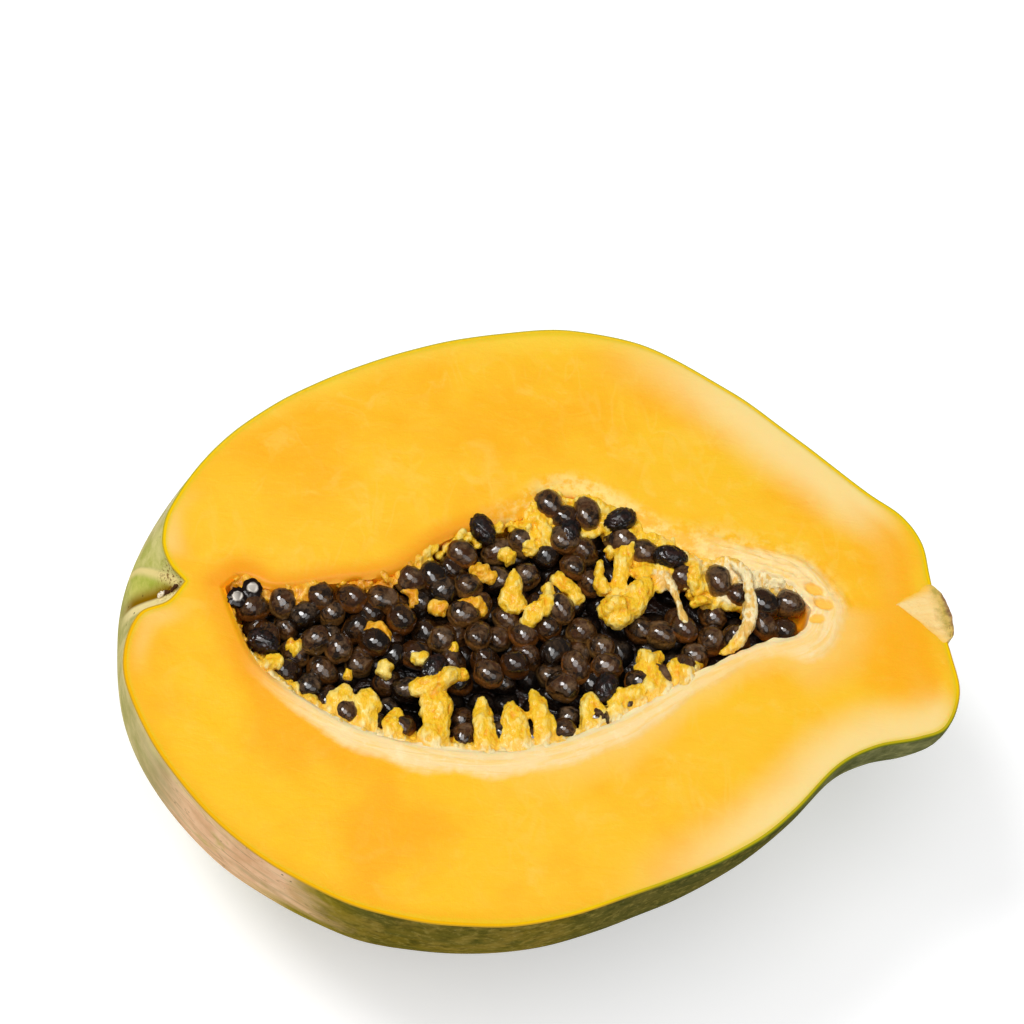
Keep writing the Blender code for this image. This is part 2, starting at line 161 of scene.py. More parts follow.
# --- seed heap
SEED_X = (-67, 56)
SEED_Y = (-36, 24)
SEED_SIZES = (0.92, 1.04)
SEED_REACH = 5.15
SEED_WALL_ROOM = 4.5
SEED_STRAND_ROOM = 4.1
SEED_FLOOR = -9.4
SEED_CEILING = -2.3
SEED_TRIES = 60
SEED_LIMIT = 175
SEED_RANDOM = 41
HEAP_CORE_TOP = -8.6
HEAP_CORE_REACH = 1.2           # a seed this little above the core still rests on it
HEAP_CORE_ROOM = 0.6            # between the core of the heap and the wall
WALL_SEED_X = (-68, 59)
WALL_SEED_GAPS = (2.3, 5.6)     # from the outline of the hollow
WALL_SEED_LEVELS = ((-4.6, -3.2), (-3.4, -2.0))     # on the near and on the far side
WALL_SEED_SIZES = (0.90, 1.0)
WALL_SEED_SPACE = 4.6
WALL_SEED_TRIES = 3000
WALL_SEED_RANDOM = 5
SEED_LOOKS_RANDOM = 7
LOST_COAT_SHARE = 0.16
# seeds at the rim, by place and heading in degrees: the second group lost their coats
EDGE_SEEDS = ((1.7, 23.6, -1.6, 30), (10.1, 21.9, -1.8, 10), (-17.9, 10.6, -2.4, 60),
              (-24.4, 4.9, -2.8, 20), (-35.4, -1.2, -3.0, 80), (-48.9, -1.6, -2.6, 30),
              (38.9, 6.2, -1.8, 10), (48.8, 1.2, -2.0, 70), (54.8, 1.6, -2.3, 80))
BARE_SEEDS = ((17.3, 20.0, -0.6, 25), (28.3, 11.2, -0.5, 170), (-13.4, 16.4, -1.0, 120),
              (5.9, 16.9, -1.8, 80), (-61.2, -13.2, -1.6, 150), (-24.5, -18.4, -1.4, 60),
              (13.0, -21.0, -2.0, 70))
CUT_SEEDS = ((-67.1, -3.4, 2.1), (-63.9, -1.2, 2.2))

# --- stem stub
STUB_PROFILE = ((78.5, 0), (80.8, 1.7), (84.4, 4.5), (87.2, 7.0), (88.9, 6.6),
                (90.3, 4.4), (90.9, 0))
STUB_SHIFT_Y = -0.3
STUB_RISE = 0.05                # over the cut face

# --- unevenness of grown walls: (size, height) of its waves, calm share at the ends, middle Y
FRUIT_WAVES = (((38.0, 0.9), (13.0, 0.25)), 0.05, 0.0)
HOLLOW_WAVES = (((5.0, 0.7), (1.9, 0.35)), 0.04, -6.0)

# --- fineness of the finished meshes
RINGS = 200
FRUIT_SEGMENTS = 128
HOLLOW_SEGMENTS = 64
CUT_FACE_CUTS = 72
ROPE_RINGS = 28
BED_RINGS = 60
STUB_RINGS = 40
PULP_GRAIN = 0.36
FLOWER_GRAIN = 0.09
FLOOR_ROOM = 0.35               # that inner faces keep from the floor
LEVEL_SLACK = 0.02              # within which a corner counts as on the cut face

# --- stage: camera in degrees, metres and millimetres; lamps by place, size and power
CAMERA_TURN = -14.0
CAMERA_HEIGHT = 60.0
CAMERA_ROLL = 14.69
CAMERA_DISTANCE = 0.8
CAMERA_LENS = 127.4
CAMERA_AIM = (-6.88, 20.58, 0.0)
LAMP_AIM = (0, 0, 0.05)
LAMPS = (("key", (-1.00, 0.34, 2.00), 0.75, 22.0),
         ("side", (0.9, -1.3, 2.0), 1.6, 10.0),
         ("top", (-0.35, -0.45, 2.5), 1.6, 30.0))
WORLD_LIGHT = 0.11
FLOOR_SIZE = 6.0
FLOOR_GLOW = 0.455


def tint(code):
    """Linear colour of a six digit colour code."""
    parts = [int(code[i:i + 2], 16) / 255 for i in (0, 2, 4)]
    return tuple(p / 12.92 if p < 0.04045 else ((p + 0.055) / 1.055) ** 2.4 for p in parts)


def length(name, text, size):
    return bpy.props.FloatProperty(name=name, description=text, default=size * MM,
                                   min=0.0, unit="LENGTH")


def colour(name, text, code):
    return bpy.props.FloatVectorProperty(name=name, description=text, size=3, min=0.0, max=1.0,
                                         default=tint(code), subtype="COLOR")


class PapayaSizes(bpy.types.PropertyGroup):
    skin_thickness: length("Skin thickness", "Thickness of the green skin", 0.8)
    seed_width: length("Seed width", "Width of a seed with its wet coat", 6.5)
    seed_length: length("Seed length", "Length of a seed with its wet coat", 7.5)
    lining_width: length("Lining width", "Width of the pale lining round the hollow", 6.4)


class PapayaColours(bpy.types.PropertyGroup):
    flesh: colour("Flesh", "Main colour of the flesh", "ffc424")
    flesh_deep: colour("Deep flesh", "Riper flesh near the hollow", "ffb50e")
    flesh_pale: colour("Pale flesh", "Flesh under the skin and in the neck", "ffdc90")
    lining: colour("Lining", "Pale lining of the hollow", "ffdc9c")
    rim: colour("Rim", "Thin line where flesh meets skin", "f4c60c")
    skin_green: colour("Skin green", "Fresh green of the skin", "8c9a34")
    skin_dark: colour("Dark skin", "Dark streaks of the skin", "4a5a1c")
    skin_ripe: colour("Ripe skin", "Yellow ripe patches of the skin", "c4aa20")
    seed: colour("Seed", "Dark brown of the seeds", "140a05")
    seed_coat: colour("Seed coat", "Greyish wet coat of the seeds", "54300f")
    stem: colour("Stem", "Dry root of the stem", "fad082")


# --- shape helpers

def smooth_line(points, places):
    """Points on a smooth line through the given ones, at shares of its length."""
    nodes = [Vector(p) for p in points]
    knots = [0.0]
    for a, b in zip(nodes, nodes[1:]):
        knots.append(knots[-1] + math.sqrt((b - a).length))
    slopes = []
    for i in range(len(nodes)):
        lo, hi = max(i - 1, 0), min(i + 1, len(nodes) - 1)
        slopes.append((nodes[hi] - nodes[lo]) / (knots[hi] - knots[lo]))
    fine = []
    for i in range(len(nodes) - 1):
        span = knots[i + 1] - knots[i]
        for k in range(16):
            s = k / 16
            fine.append(nodes[i] * (2 * s**3 - 3 * s**2 + 1)
                        + slopes[i] * span * (s**3 - 2 * s**2 + s)
                        + nodes[i + 1] * (3 * s**2 - 2 * s**3)
                        + slopes[i + 1] * span * (s**3 - s**2))
    fine.append(nodes[-1])
    run = [0.0]
    for a, b in zip(fine, fine[1:]):
        run.append(run[-1] + (b - a).length)
    found = []
    k = 0
    for place in places:
        goal = place * run[-1]
        while k < len(run) - 2 and run[k + 1] < goal:
            k += 1
        share = (goal - run[k]) / (run[k + 1] - run[k])
        found.append(fine[k].lerp(fine[k + 1], min(max(share, 0.0), 1.0)))
    return found


def height_at(line, x):
    for a, b in zip(line, line[1:]):
        if a.x <= x <= b.x and b.x > a.x:
            return a.y + (b.y - a.y) * (x - a.x) / (b.x - a.x)
    return 0.0


def end_dense(count):
    even = [i / count for i in range(count + 1)]
    return [0.55 * e + 0.45 * (1 - math.cos(math.pi * e)) / 2 for e in even]


def hollow_lines():
    places = [i / 80 for i in range(81)]
    return [smooth_line(line, places) for line in (HOLLOW_NEAR, HOLLOW_FAR, HOLLOW_DEPTH)]


def outline_points(near, far):
    """Corner points of a closed outline from its near and its far edge."""
    return [(p.x, -p.y) for p in near] + [(p.x, p.y) for p in far]


def to_world(point):
    """From the shape tables' millimetres to metres in the frame."""
    return Vector(((point[0] + SHIFT[0]) * MM, (point[1] + SHIFT[1]) * MM,
                   (point[2] + CUT_HEIGHT) * MM))


def to_table(point):
    return Vector((point[0] / MM - SHIFT[0], point[1] / MM - SHIFT[1],
                   point[2] / MM - CUT_HEIGHT))


def ease(low, high, value):
    s = min(max((value - low) / (high - low), 0.0), 1.0)
    return s * s * (3 - 2 * s)


def ring_of(corner, rings):
    """Number of the ring that a corner of a unit sphere with poles on X lies on."""
    return round(math.acos(max(-1.0, min(1.0, -corner.co.x))) / math.pi * rings)


# --- operator helpers

def deselect_all():
    if bpy.context.mode != "OBJECT":
        bpy.ops.object.mode_set(mode="OBJECT")
    bpy.ops.object.select_all(action="DESELECT")


def make_active(item):
    deselect_all()
    item.select_set(True)
    bpy.context.view_layer.objects.active = item


def add_sphere(name, segments, rings):
    """Unit sphere with its poles on the X axis."""
    deselect_all()
    bpy.ops.mesh.primitive_uv_sphere_add(segments=segments, ring_count=rings, radius=1.0,
                                         rotation=(0, math.pi / 2, 0))
    made = bpy.context.active_object
    made.name = name
    bpy.ops.object.transform_apply(location=False, rotation=True, scale=True)
    return made


def apply_modifier(item, kind, **settings):
    make_active(item)
    change = item.modifiers.new(kind.lower(), kind)
    for key, value in settings.items():
        setattr(change, key, value)
    bpy.ops.object.modifier_apply(modifier=change.name)


def edit_whole(item, action, **settings):
    """Run one edit mode operator on the whole mesh."""
    make_active(item)
    bpy.ops.object.mode_set(mode="EDIT")
    bpy.ops.mesh.select_all(action="SELECT")
    action(**settings)
    bpy.ops.object.mode_set(mode="OBJECT")


def select_parts(item, kind, wanted):
    """Go to edit mode with only the faces or edges that pass the test selected."""
    make_active(item)
    bpy.ops.object.mode_set(mode="EDIT")
    bpy.ops.mesh.select_mode(type=kind)
    bpy.ops.mesh.select_all(action="DESELECT")
    form = bmesh.from_edit_mesh(item.data)
    for part in form.faces if kind == "FACE" else form.edges:
        part.select = wanted(part)
    form.select_flush_mode()
    bmesh.update_edit_mesh(item.data)


def face_outward(item):
    edit_whole(item, bpy.ops.mesh.normals_make_consistent, inside=False)


def slice_top(item, height, **settings):
    """Cut a mesh level at a height in metres, drop what is above and close the cut."""
    edit_whole(item, bpy.ops.mesh.bisect, plane_co=(0, 0, height), plane_no=(0, 0, 1),
               use_fill=True, clear_outer=True, **settings)


def bridge_open_rims(item, cuts=0):
    """Join the two open rims of a mesh with a strip of faces."""
    select_parts(item, "EDGE", lambda edge: edge.is_boundary)
    bpy.ops.mesh.bridge_edge_loops(number_cuts=cuts, interpolation="LINEAR", smoothness=0.0)
    bpy.ops.object.mode_set(mode="OBJECT")


def join_objects(name, items):
    deselect_all()
    for item in items:
        item.select_set(True)
    bpy.context.view_layer.objects.active = items[0]
    bpy.ops.object.join()
    items[0].name = name
    return items[0]


def smooth(item, angle=None):
    make_active(item)
    if angle is None:
        bpy.ops.object.shade_smooth()
    else:
        bpy.ops.object.shade_smooth_by_angle(angle=math.radians(angle))


# --- moulding

def uneven(spot, place, waves, calm_share, middle):
    """Push a spot out from the middle by noise, mirrored across the cut so it stays flat."""
    probe = Vector((spot.x, spot.y, -abs(spot.z)))
    wave = sum(noise.noise(probe / size) * height for size, height in waves)
    calm = ease(0.0, calm_share, place) * ease(0.0, calm_share, 1 - place)
    out = Vector((0, spot.y - middle, spot.z))
    if out.length > 1e-6:
        spot = spot + out.normalized() * wave * calm
    return spot


def shape_body(item, near, far, keel, rings, lobes=(0.0, 0.0, 0.0), waves=None):
    """Mould a sphere with poles on X to the body that the three lines give."""
    places = end_dense(rings)
    lines = [smooth_line(line, places) for line in (near, far, keel)]
    for corner in item.data.vertices:
        i = ring_of(corner, rings)
        n, f, k = (line[i] for line in lines)
        if i in (0, rings):
            spot = Vector((n.x, (f.y - n.y) / 2, 0))
        else:
            turn = math.atan2(-corner.co.z, -corner.co.y)
            c, s = math.cos(turn), math.sin(turn)
            if abs(s) < 1e-5:
                s = 0.0
            edge, low = n.x if c > 0 else f.x, abs(s) ** 1.2
            end_swell = lobes[0] if places[i] < 0.5 else lobes[2]
            swell = lobes[1] + (end_swell - lobes[1]) * abs(2 * places[i] - 1) ** 2.5
            lobe = 1 + swell * s * abs(s) * math.cos(LOBE_COUNT * (turn - math.pi / 2))
            spot = Vector((edge + (k.x - edge) * low,
                           (f.y - n.y) / 2 - (n.y + f.y) / 2 * c * lobe,
                           -k.y * s * lobe))
        if waves is not None:
            spot = uneven(spot, places[i], *waves)
        corner.co = to_world(spot)
    face_outward(item)


def fruit_body(name):
    """The whole fruit that the half is cut from."""
    body = add_sphere(name, FRUIT_SEGMENTS, RINGS)
    shape_body(body, NEAR_EDGE, FAR_EDGE, KEEL, RINGS, LOBES, FRUIT_WAVES)
    return body


def halve(item, outer_count=0):
    """Keep what is below the cut; only the first corners, the outer ones, reach the floor."""
    level = CUT_HEIGHT * MM
    for corner in item.data.vertices:
        if abs(corner.co.z - level) < LEVEL_SLACK * MM:
            corner.co.z = level
        floor = 0.0 if corner.index < outer_count else FLOOR_ROOM * MM
        corner.co.z = max(corner.co.z, floor)
    select_parts(item, "FACE", lambda face: face.calc_center_median().z > level + 1e-6)
    bpy.ops.mesh.delete(type="FACE")
    bpy.ops.object.mode_set(mode="OBJECT")


def spots_of(item):
    """All corners of a mesh in the shape tables' millimetres, one row each."""
    flat = np.empty(len(item.data.vertices) * 3)
    item.data.vertices.foreach_get("co", flat)
    return flat.reshape(-1, 3) / MM - (SHIFT[0], SHIFT[1], CUT_HEIGHT)


def outward_of(item):
    flat = np.empty(len(item.data.vertices) * 3)
    item.data.vertices.foreach_get("normal", flat)
    return flat.reshape(-1, 3)


def put_spots(item, spots):
    flat = (spots + (SHIFT[0], SHIFT[1], CUT_HEIGHT)) * MM
    item.data.vertices.foreach_set("co", flat.ravel())
    item.data.update()


def noise_row(probes, size=1.0):
    """Noise at each row of places, with waves of the given size."""
    return np.array([noise.noise(Vector(probe) / size) for probe in probes])


def roughen(item, layers, grain=(1.0, 1.0, 1.0)):
    """Push the surface in and out by noise: (size, height) for each layer, in millimetres."""
    spots, outward = spots_of(item), outward_of(item)
    heights = sum(height * noise_row(spots * np.array(grain) / size) for size, height in layers)
    put_spots(item, spots + outward * heights[:, None])
    return heights


def line_height(line, xs):
    return np.interp(xs, [p.x for p in line], [p.y for p in line])


def ramp(low, high, values):
    """Smooth step from 0 at low to 1 at high, for whole rows of numbers."""
    share = np.clip((values - low) / (high - low), 0.0, 1.0)
    return share * share * (3 - 2 * share)


def fade(low, high, values):
    """Smooth step from 1 at low to 0 at high."""
    return 1 - ramp(low, high, values)


def store(item, name, values):
    """Keep one number per vertex for the materials to read."""
    layer = item.data.attributes.new(name, "FLOAT", "POINT")
    layer.data.foreach_set("value", values)


# --- material helpers

class Finish:
    """Short hand for one procedural material.

    A colour may be a six digit code, and a share of a mix may be (value, low, high), which
    stands for a smooth ramp.
    """

    def __init__(self, name):
        self.material = bpy.data.materials.new(name)
        self.material.use_nodes = True
        self.nodes = self.material.node_tree.nodes
        self.links = self.material.node_tree.links
        self.shader = self.nodes["Principled BSDF"]
        self.place = self.node("TexCoord", "Object")

    def link(self, source, target):
        """Feed a socket from another node, or with a number, a vector or a colour."""
        if hasattr(source, "is_output"):
            self.links.new(source, target)
        elif isinstance(source, (int, float)):
            target.default_value = source
        else:
            parts = tint(source) if isinstance(source, str) else tuple(source)
            target.default_value = (*parts[:3], 1.0)[:len(target.default_value)]

    def node(self, kind, output, feeds=(), **settings):
        """Add a node, feed its sockets in (socket, source) pairs and give back one output."""
        made = self.nodes.new("ShaderNode" + kind)
        for key, value in settings.items():
            setattr(made, key, value)
        for socket, source in feeds:
            self.link(source, made.inputs[socket])
        return made.outputs[output]

    def noise(self, scale, detail=3.0, rough=0.55, warp=0.0, vector=None):
        """Cloudy noise; three scales stretch it along X, Y and Z."""
        if isinstance(scale, tuple):
            vector = self.node("Mapping", "Vector", (("Scale", scale), ("Vector", self.place)))
            scale = 1.0
        return self.node("TexNoise", "Fac", (
            ("Scale", scale), ("Detail", detail), ("Roughness", rough), ("Distortion", warp),
            ("Vector", vector or self.place)))

    def spots(self, scale):
        return self.node("TexVoronoi", "Distance", (("Scale", scale), ("Vector", self.place)))

    def number(self, name):
        return self.node("Attribute", "Fac", attribute_name=name)

    def axis(self, name):
        return self.node("SeparateXYZ", name, (("Vector", self.place),))

    def lane(self, along, fine_along, across, fine_across):
        """Vector that runs with a line: first along it, then across it, each with its scale."""
        return self.node("CombineXYZ", "Vector", (("X", self.times(along, fine_along)),
                                                  ("Y", self.times(across, fine_across))))

    def ramp(self, value, low, high, to_low=0.0, to_high=1.0):
        return self.node("MapRange", "Result", (
            ("Value", value), ("From Min", low), ("From Max", high), ("To Min", to_low),
            ("To Max", to_high)), interpolation_type="SMOOTHSTEP")

    def math(self, kind, first, second=0.0):
        return self.node("Math", "Value", ((0, first), (1, second)), operation=kind)

    def plus(self, *values):
        result = values[0]
        for value in values[1:]:
            result = self.math("ADD", result, value)
        return result

    def minus(self, first, second):
        return self.math("SUBTRACT", first, second)

    def off(self, value, middle):
        """Distance of a value from a middle one."""
        return self.math("ABSOLUTE", self.minus(value, middle))

    def times(self, *shares):
        shares = [self.ramp(*share) if isinstance(share, tuple) else share for share in shares]
        result = shares[0]
        for share in shares[1:]:
            result = self.math("MULTIPLY", result, share)
        return result

    def mix(self, share, first, second):
        return self.node("Mix", 2, ((0, self.times(share)), (6, first), (7, second)),
                         data_type="RGBA")

    def layers(self, base, *coats):
        """Lay coats over the base in turn: each is a colour and the shares that thin it."""
        for colour, *shares in coats:
            base = self.mix(self.times(*shares), base, colour)
        return base

    def bump(self, height, strength, distance, before=None):
        feeds = [("Strength", strength), ("Distance", distance), ("Height", height)]
        if before is not None:
            feeds.append(("Normal", before))
        return self.node("Bump", "Normal", feeds)

    def finish(self, colour, roughness, normal=None, **settings):
        settings.update(Base_Color=colour, Roughness=roughness)
        if normal is not None:
            settings["Normal"] = normal
        for key, value in settings.items():
            self.link(value, self.shader.inputs[key.replace("_", " ")])
        return self.material


def wear(item, material):
    item.data.materials.clear()
    item.data.materials.append(material)


def skin_material(colours):
    f = Finish("papaya_skin")
    x, y, z = f.axis("X"), f.axis("Y"), f.axis("Z")
    streak = f.noise((12, 70, 70), 4.0, 0.6, 0.8)
    cloud = f.noise(24.0)
    mottle = f.noise(150.0, 5.0, 0.65)
    grain = f.noise(600.0, 3.0, 0.6)
    drift = f.times(f.minus(f.noise(30.0, 4.0, 0.6, 1.0), 0.5), 0.055)
    # green back with yellow patches, as on an uncut fruit
    tone = f.plus(f.times(cloud, 0.6), f.times(streak, 0.2), f.times(mottle, 0.3),
                  f.times((x, 0.030, -0.060), 0.10))
    shade = f.plus(f.times(streak, 0.5), f.times(mottle, 0.5))
    green = f.layers(
        f.mix((tone, 0.46, 0.74), colours.skin_green, colours.skin_ripe),
        (colours.skin_dark, (shade, 0.46, 0.68), 0.38),
        (colours.skin_ripe, (grain, 0.42, 0.70), 0.4))
    # dark olive side towards the near edge
    patches = f.noise(95.0, 4.0, 0.6, 0.5)
    scale = f.noise((260, 520, 520), 4.0, 0.65, 0.6)
    olive = f.layers(
        f.mix((streak, 0.32, 0.72), "7e6c20", "545624"),
        ("937c34", (patches, 0.52, 0.64), 0.65),
        ("333610", (patches, 0.46, 0.36), 0.6),
        ("968038", (mottle, 0.46, 0.66), 0.6),
        ("4a4f2c", (x, -0.005, 0.020), 0.6),
        ("34360f", (scale, 0.46, 0.64), 0.45),
        ("a09048", (grain, 0.50, 0.70), 0.45))
    # tan cheek, with marks that run along the edge
    run = f.minus(f.times(x, 0.65), f.times(y, 0.76))
    down = f.plus(z, f.times(f.plus(f.times(x, 0.76), f.times(y, 0.65)), 0.35))
    lines = f.noise(1.0, 3.0, 0.5, 0.5, f.lane(run, 55.0, down, 420.0))
    fold = f.noise(1.0, 3.0, 0.55, 0.6, f.lane(run, 26.0, down, 150.0))
    tan = f.layers(
        f.mix((mottle, 0.30, 0.76), "fad0a4", "e4b284"),
        ("94824e", (lines, 0.54, 0.70), 0.28),
        ("8a8452", (fold, 0.50, 0.66), 0.42),
        ("8a6844", (f.off(fold, 0.47), 0.012, 0.002), 0.35),
        ("a6a070", (x, -0.074, -0.084), 0.6))
    pale = f.mix((mottle, 0.34, 0.68), "d2c588", "aea862")
    patch = f.noise(46.0, 4.0, 0.6, 0.6)
    base = f.layers(
        green,
        (olive, (f.plus(y, drift), 0.012, -0.020), (x, -0.070, -0.034)),
        # pale blossom end
        (pale, (f.plus(x, f.times(cloud, 0.034)), -0.040, -0.070), (y, 0.046, 0.022)),
        (tan, (f.plus(x, drift), -0.040, -0.062), (x, -0.092, -0.078), (y, -0.004, -0.022),
         (f.plus(z, drift), 0.014, 0.044), (patch, 0.26, 0.44)))
    scar = f.off(f.noise((46, 22, 60), 2.0, 0.4), 0.5)
    base = f.layers(
        notch_marks(f, base, x, y, z, mottle),
        # cream strip below the cut at the blossom end
        ("ecd796", (z, 0.0708, 0.0734), (x, -0.060, -0.075), (y, 0.006, 0.001), 0.35),
        # grey green under the neck
        (f.mix((mottle, 0.3, 0.7), "585e3a", "9c9c68"), (x, 0.045, 0.070), (y, 0.020, -0.010), 0.7),
        # specks, pores and fine scars
        ("3a2c12", (f.spots(430.0), 0.15, 0.09), (f.noise(70.0, 2.0), 0.52, 0.58), 0.8),
        ("d8cf9a", (f.spots(330.0), 0.10, 0.05), 0.16),
        ("6a5428", (scar, 0.006, 0.001), (f.noise(30.0), 0.58, 0.62), 0.5))
    # line of the cut edge: green outside, yellow towards the flesh
    under = f.times((y, -0.012, -0.024), (x, 0.006, 0.030))
    outside = f.layers(f.mix((y, 0.030, -0.005), "b0a820", "c89a28"), ("68701f", under))
    inside = f.layers(colours.rim, ("f4b60c", (y, 0.004, -0.008), (x, 0.010, -0.020)),
                      ("a8a01a", under, 0.8))
    edge = f.mix((f.number("inner"), 0.10, 0.55), outside, inside)
    base = f.mix((z, 0.07450, 0.07472), base, edge)
    normal = f.bump(mottle, 0.4, 0.0012, f.bump(grain, 0.25, 0.0004))
    return f.finish(base, f.ramp(mottle, 0.3, 0.8, 0.34, 0.52), normal,
                    Specular_IOR_Level=f.ramp(y, 0.020, 0.060, 0.0, 0.40))


def notch_marks(f, base, x, y, z, mottle):
    """Folded skin of the blossom notch: a pale ridge, a green hollow and a pale lip."""
    ridge = f.plus(y, f.times(x, 0.93), 0.0683)
    lip = f.plus(y, f.times(x, 0.20), 0.0133)
    inside = f.times((x, -0.0785, -0.0800), (x, -0.0925, -0.0885), (z, 0.048, 0.062))
    above = f.mix((mottle, 0.36, 0.66), "d6ce82", "b2b456")
    green = f.mix((mottle, 0.36, 0.66), "c8c464", "a2ac42")
    green = f.mix((lip, 0.0050, 0.0012), green, "835f02")
    specks = f.noise(1500.0, 3.0, 0.6)
    return f.layers(
        base,
        (above, inside, (ridge, 0.0, 0.0012), (y, 0.022, 0.015), 0.8),
        (green, inside, (ridge, 0.0006, -0.0003), (lip, 0.0, 0.0010)),
        ("e4d08a", inside, (ridge, -0.0022, -0.0004), (ridge, 0.0008, 0.0)),
        ("f0dc9c", inside, (lip, 0.0010, 0.0), (lip, -0.0026, -0.0012), 0.9),
        ("6e4208", (x, -0.0845, -0.0815), (y, 0.0015, 0.0035), (y, 0.0125, 0.0085),
         (z, 0.058, 0.066), (specks, 0.54, 0.60), 0.85))


def flesh_material(colours):
    f = Finish("papaya_flesh")
    skin_gap, rim_gap, lined = f.number("skin_gap"), f.number("rim_gap"), f.number("lining")
    x, y = f.axis("X"), f.axis("Y")
    cloud = f.noise(36.0)
    fibre = f.noise((120, 320, 320), 4.0, 0.6, 1.5)
    drift = f.noise(110.0, 4.0, 0.6, 0.8)
    grit = f.noise(330.0, 4.0, 0.65)
    vessel = f.off(f.noise((170, 75, 110), 2.0, 0.45, 0.7), 0.5)
    riper = f.mix((cloud, 0.40, 0.64), "ffc406", "feae02")
    end = f.plus(x, f.times((y, -0.004, -0.022), -0.012))
    inward = f.plus(skin_gap, f.times(cloud, 6.0), f.times((y, 0.015, 0.030), -2.6))
    aside = f.off(y, 0.0050)
    torn = f.mix((grit, 0.40, 0.60), "ffb81a", "ffdc7e")
    band = f.noise(1.0, 4.0, 0.6, 0.5, f.lane(f.number("along"), 0.10, rim_gap, 0.85))
    lining = f.layers(colours.lining, ("ffd070", (band, 0.46, 0.68), 0.75),
                      ("ffeab8", (grit, 0.50, 0.72), 0.5))
    base = f.layers(
        f.mix((cloud, 0.38, 0.66), colours.flesh, colours.flesh_deep),
        ("ffcb40", (fibre, 0.45, 0.8), 0.25),
        ("ffd460", (drift, 0.54, 0.70), 0.28),
        # short pale vessels running across the flesh
        ("ffdc74", (vessel, 0.070, 0.0), (f.noise(60.0, 2.0), 0.42, 0.60), (skin_gap, 2.0, 8.0), 0.10),
        # richer on the near side of the blossom end
        (riper, (y, 0.004, -0.020), (x, 0.000, -0.030), 0.55),
        # lighter rim on the far side
        ("ffd84c", (f.plus(skin_gap, f.times(cloud, 4.0)), 9.0, 3.0), (y, 0.036, 0.050), 0.45),
        # paler under the skin from mid length to the shoulders, and beside the notch
        (colours.flesh_pale, (inward, 17.0, 5.0), (x, 0.008, 0.050), (end, 0.084, 0.072), 0.95),
        ("ffd583", (x, -0.070, -0.080), (skin_gap, 7.0, 2.0), (cloud, 0.35, 0.55),
         (aside, 0.004, 0.009), (aside, 0.026, 0.014), 0.55),
        # deeper orange along the rim of the hollow on its far side and at its tip: riper flesh, with
        # painted shade where the seeds lie against it
        ("f29a06", (rim_gap, 6.0, 0.5), (f.number("near_side"), 0.7, 0.3), (x, 0.010, -0.015), 0.9),
        ("f59e00", (rim_gap, 9.0, 1.0), (x, -0.055, -0.066), 0.75),
        # core of the neck up to the stem
        ("ffaf06", (x, 0.066, 0.082), (skin_gap, 2.5, 6.0), (y, -0.022, -0.012), 0.8),
        # torn fibres and the pale lining
        (torn, f.number("torn"), 0.85),
        ("ffd274", f.number("halo")),
        (lining, lined),
        ("ffe8b8", (rim_gap, 1.5, 0.7), (lined, 0.3, 0.8), 0.5),
        ("ffc24e", f.number("cell")),
        # richer towards the skin at the blossom end, then a bright line where they meet
        ("fdb604", (skin_gap, 4.5, 0.5), (x, 0.010, -0.020), (y, 0.0, -0.010), 0.9),
        (colours.rim, (skin_gap, 1.8, 0.8), 0.55),
        # deeper, wetter wall of the hollow
        ("ff980a", f.number("wall"), (lined, 0.8, 0.2)))
    normal = f.bump(fibre, 0.14, 0.0006)
    normal = f.bump(f.noise(800.0, 3.0, 0.6), 0.15, 0.0003, normal)
    normal = f.bump(f.times(band, lined), 0.35, 0.0007, normal)
    return f.finish(base, f.ramp(cloud, 0.3, 0.7, 0.42, 0.55), normal, Specular_IOR_Level=0.3,
                    Subsurface_Weight=0.3, Subsurface_Scale=0.003)


def pulp_material():
    f = Finish("papaya_pulp")
    grain = f.noise((700, 300, 600), 4.0, 0.65, 0.4)
    fuzz = f.noise(1400.0, 3.0, 0.65)
    # painted shade and highlight: low points of the pulp's relief are painted deeper orange, its
    # crests lighter
    relief_shade = f.plus(f.number("relief_shade"), f.minus(grain, 0.5))
    base = f.layers(
        f.mix((relief_shade, -0.15, 0.30), "f9aa10", "ffc826"),
        ("ffde74", (relief_shade, 0.60, 1.15)),
        (f.mix((relief_shade, 0.3, 0.9), "ffc750", "ffe6ac"), f.number("pale")),
        # deep orange: painted shade low in the hollow, and deeper orange pulp at the far left and in
        # the middle of the heap
        (f.mix((relief_shade, 0.3, 0.8), "dc8800", "ffb01a"), f.number("deep")),
        (f.mix((relief_shade, 0.3, 0.7), "eebf62", "fde6b0"), f.number("loop")),
        ("ffe28c", (fuzz, 0.54, 0.70), 0.35),
        ("f09a04", (fuzz, 0.46, 0.32), 0.3))
    normal = f.bump(fuzz, 0.4, 0.0004, f.bump(grain, 0.7, 0.0010))
    return f.finish(base, 0.42, normal, Coat_Weight=0.25, Coat_Roughness=0.16,
                    Specular_IOR_Level=0.3, Subsurface_Weight=0.35, Subsurface_Scale=0.0015,
                    Subsurface_Radius=(1.0, 0.8, 0.5))


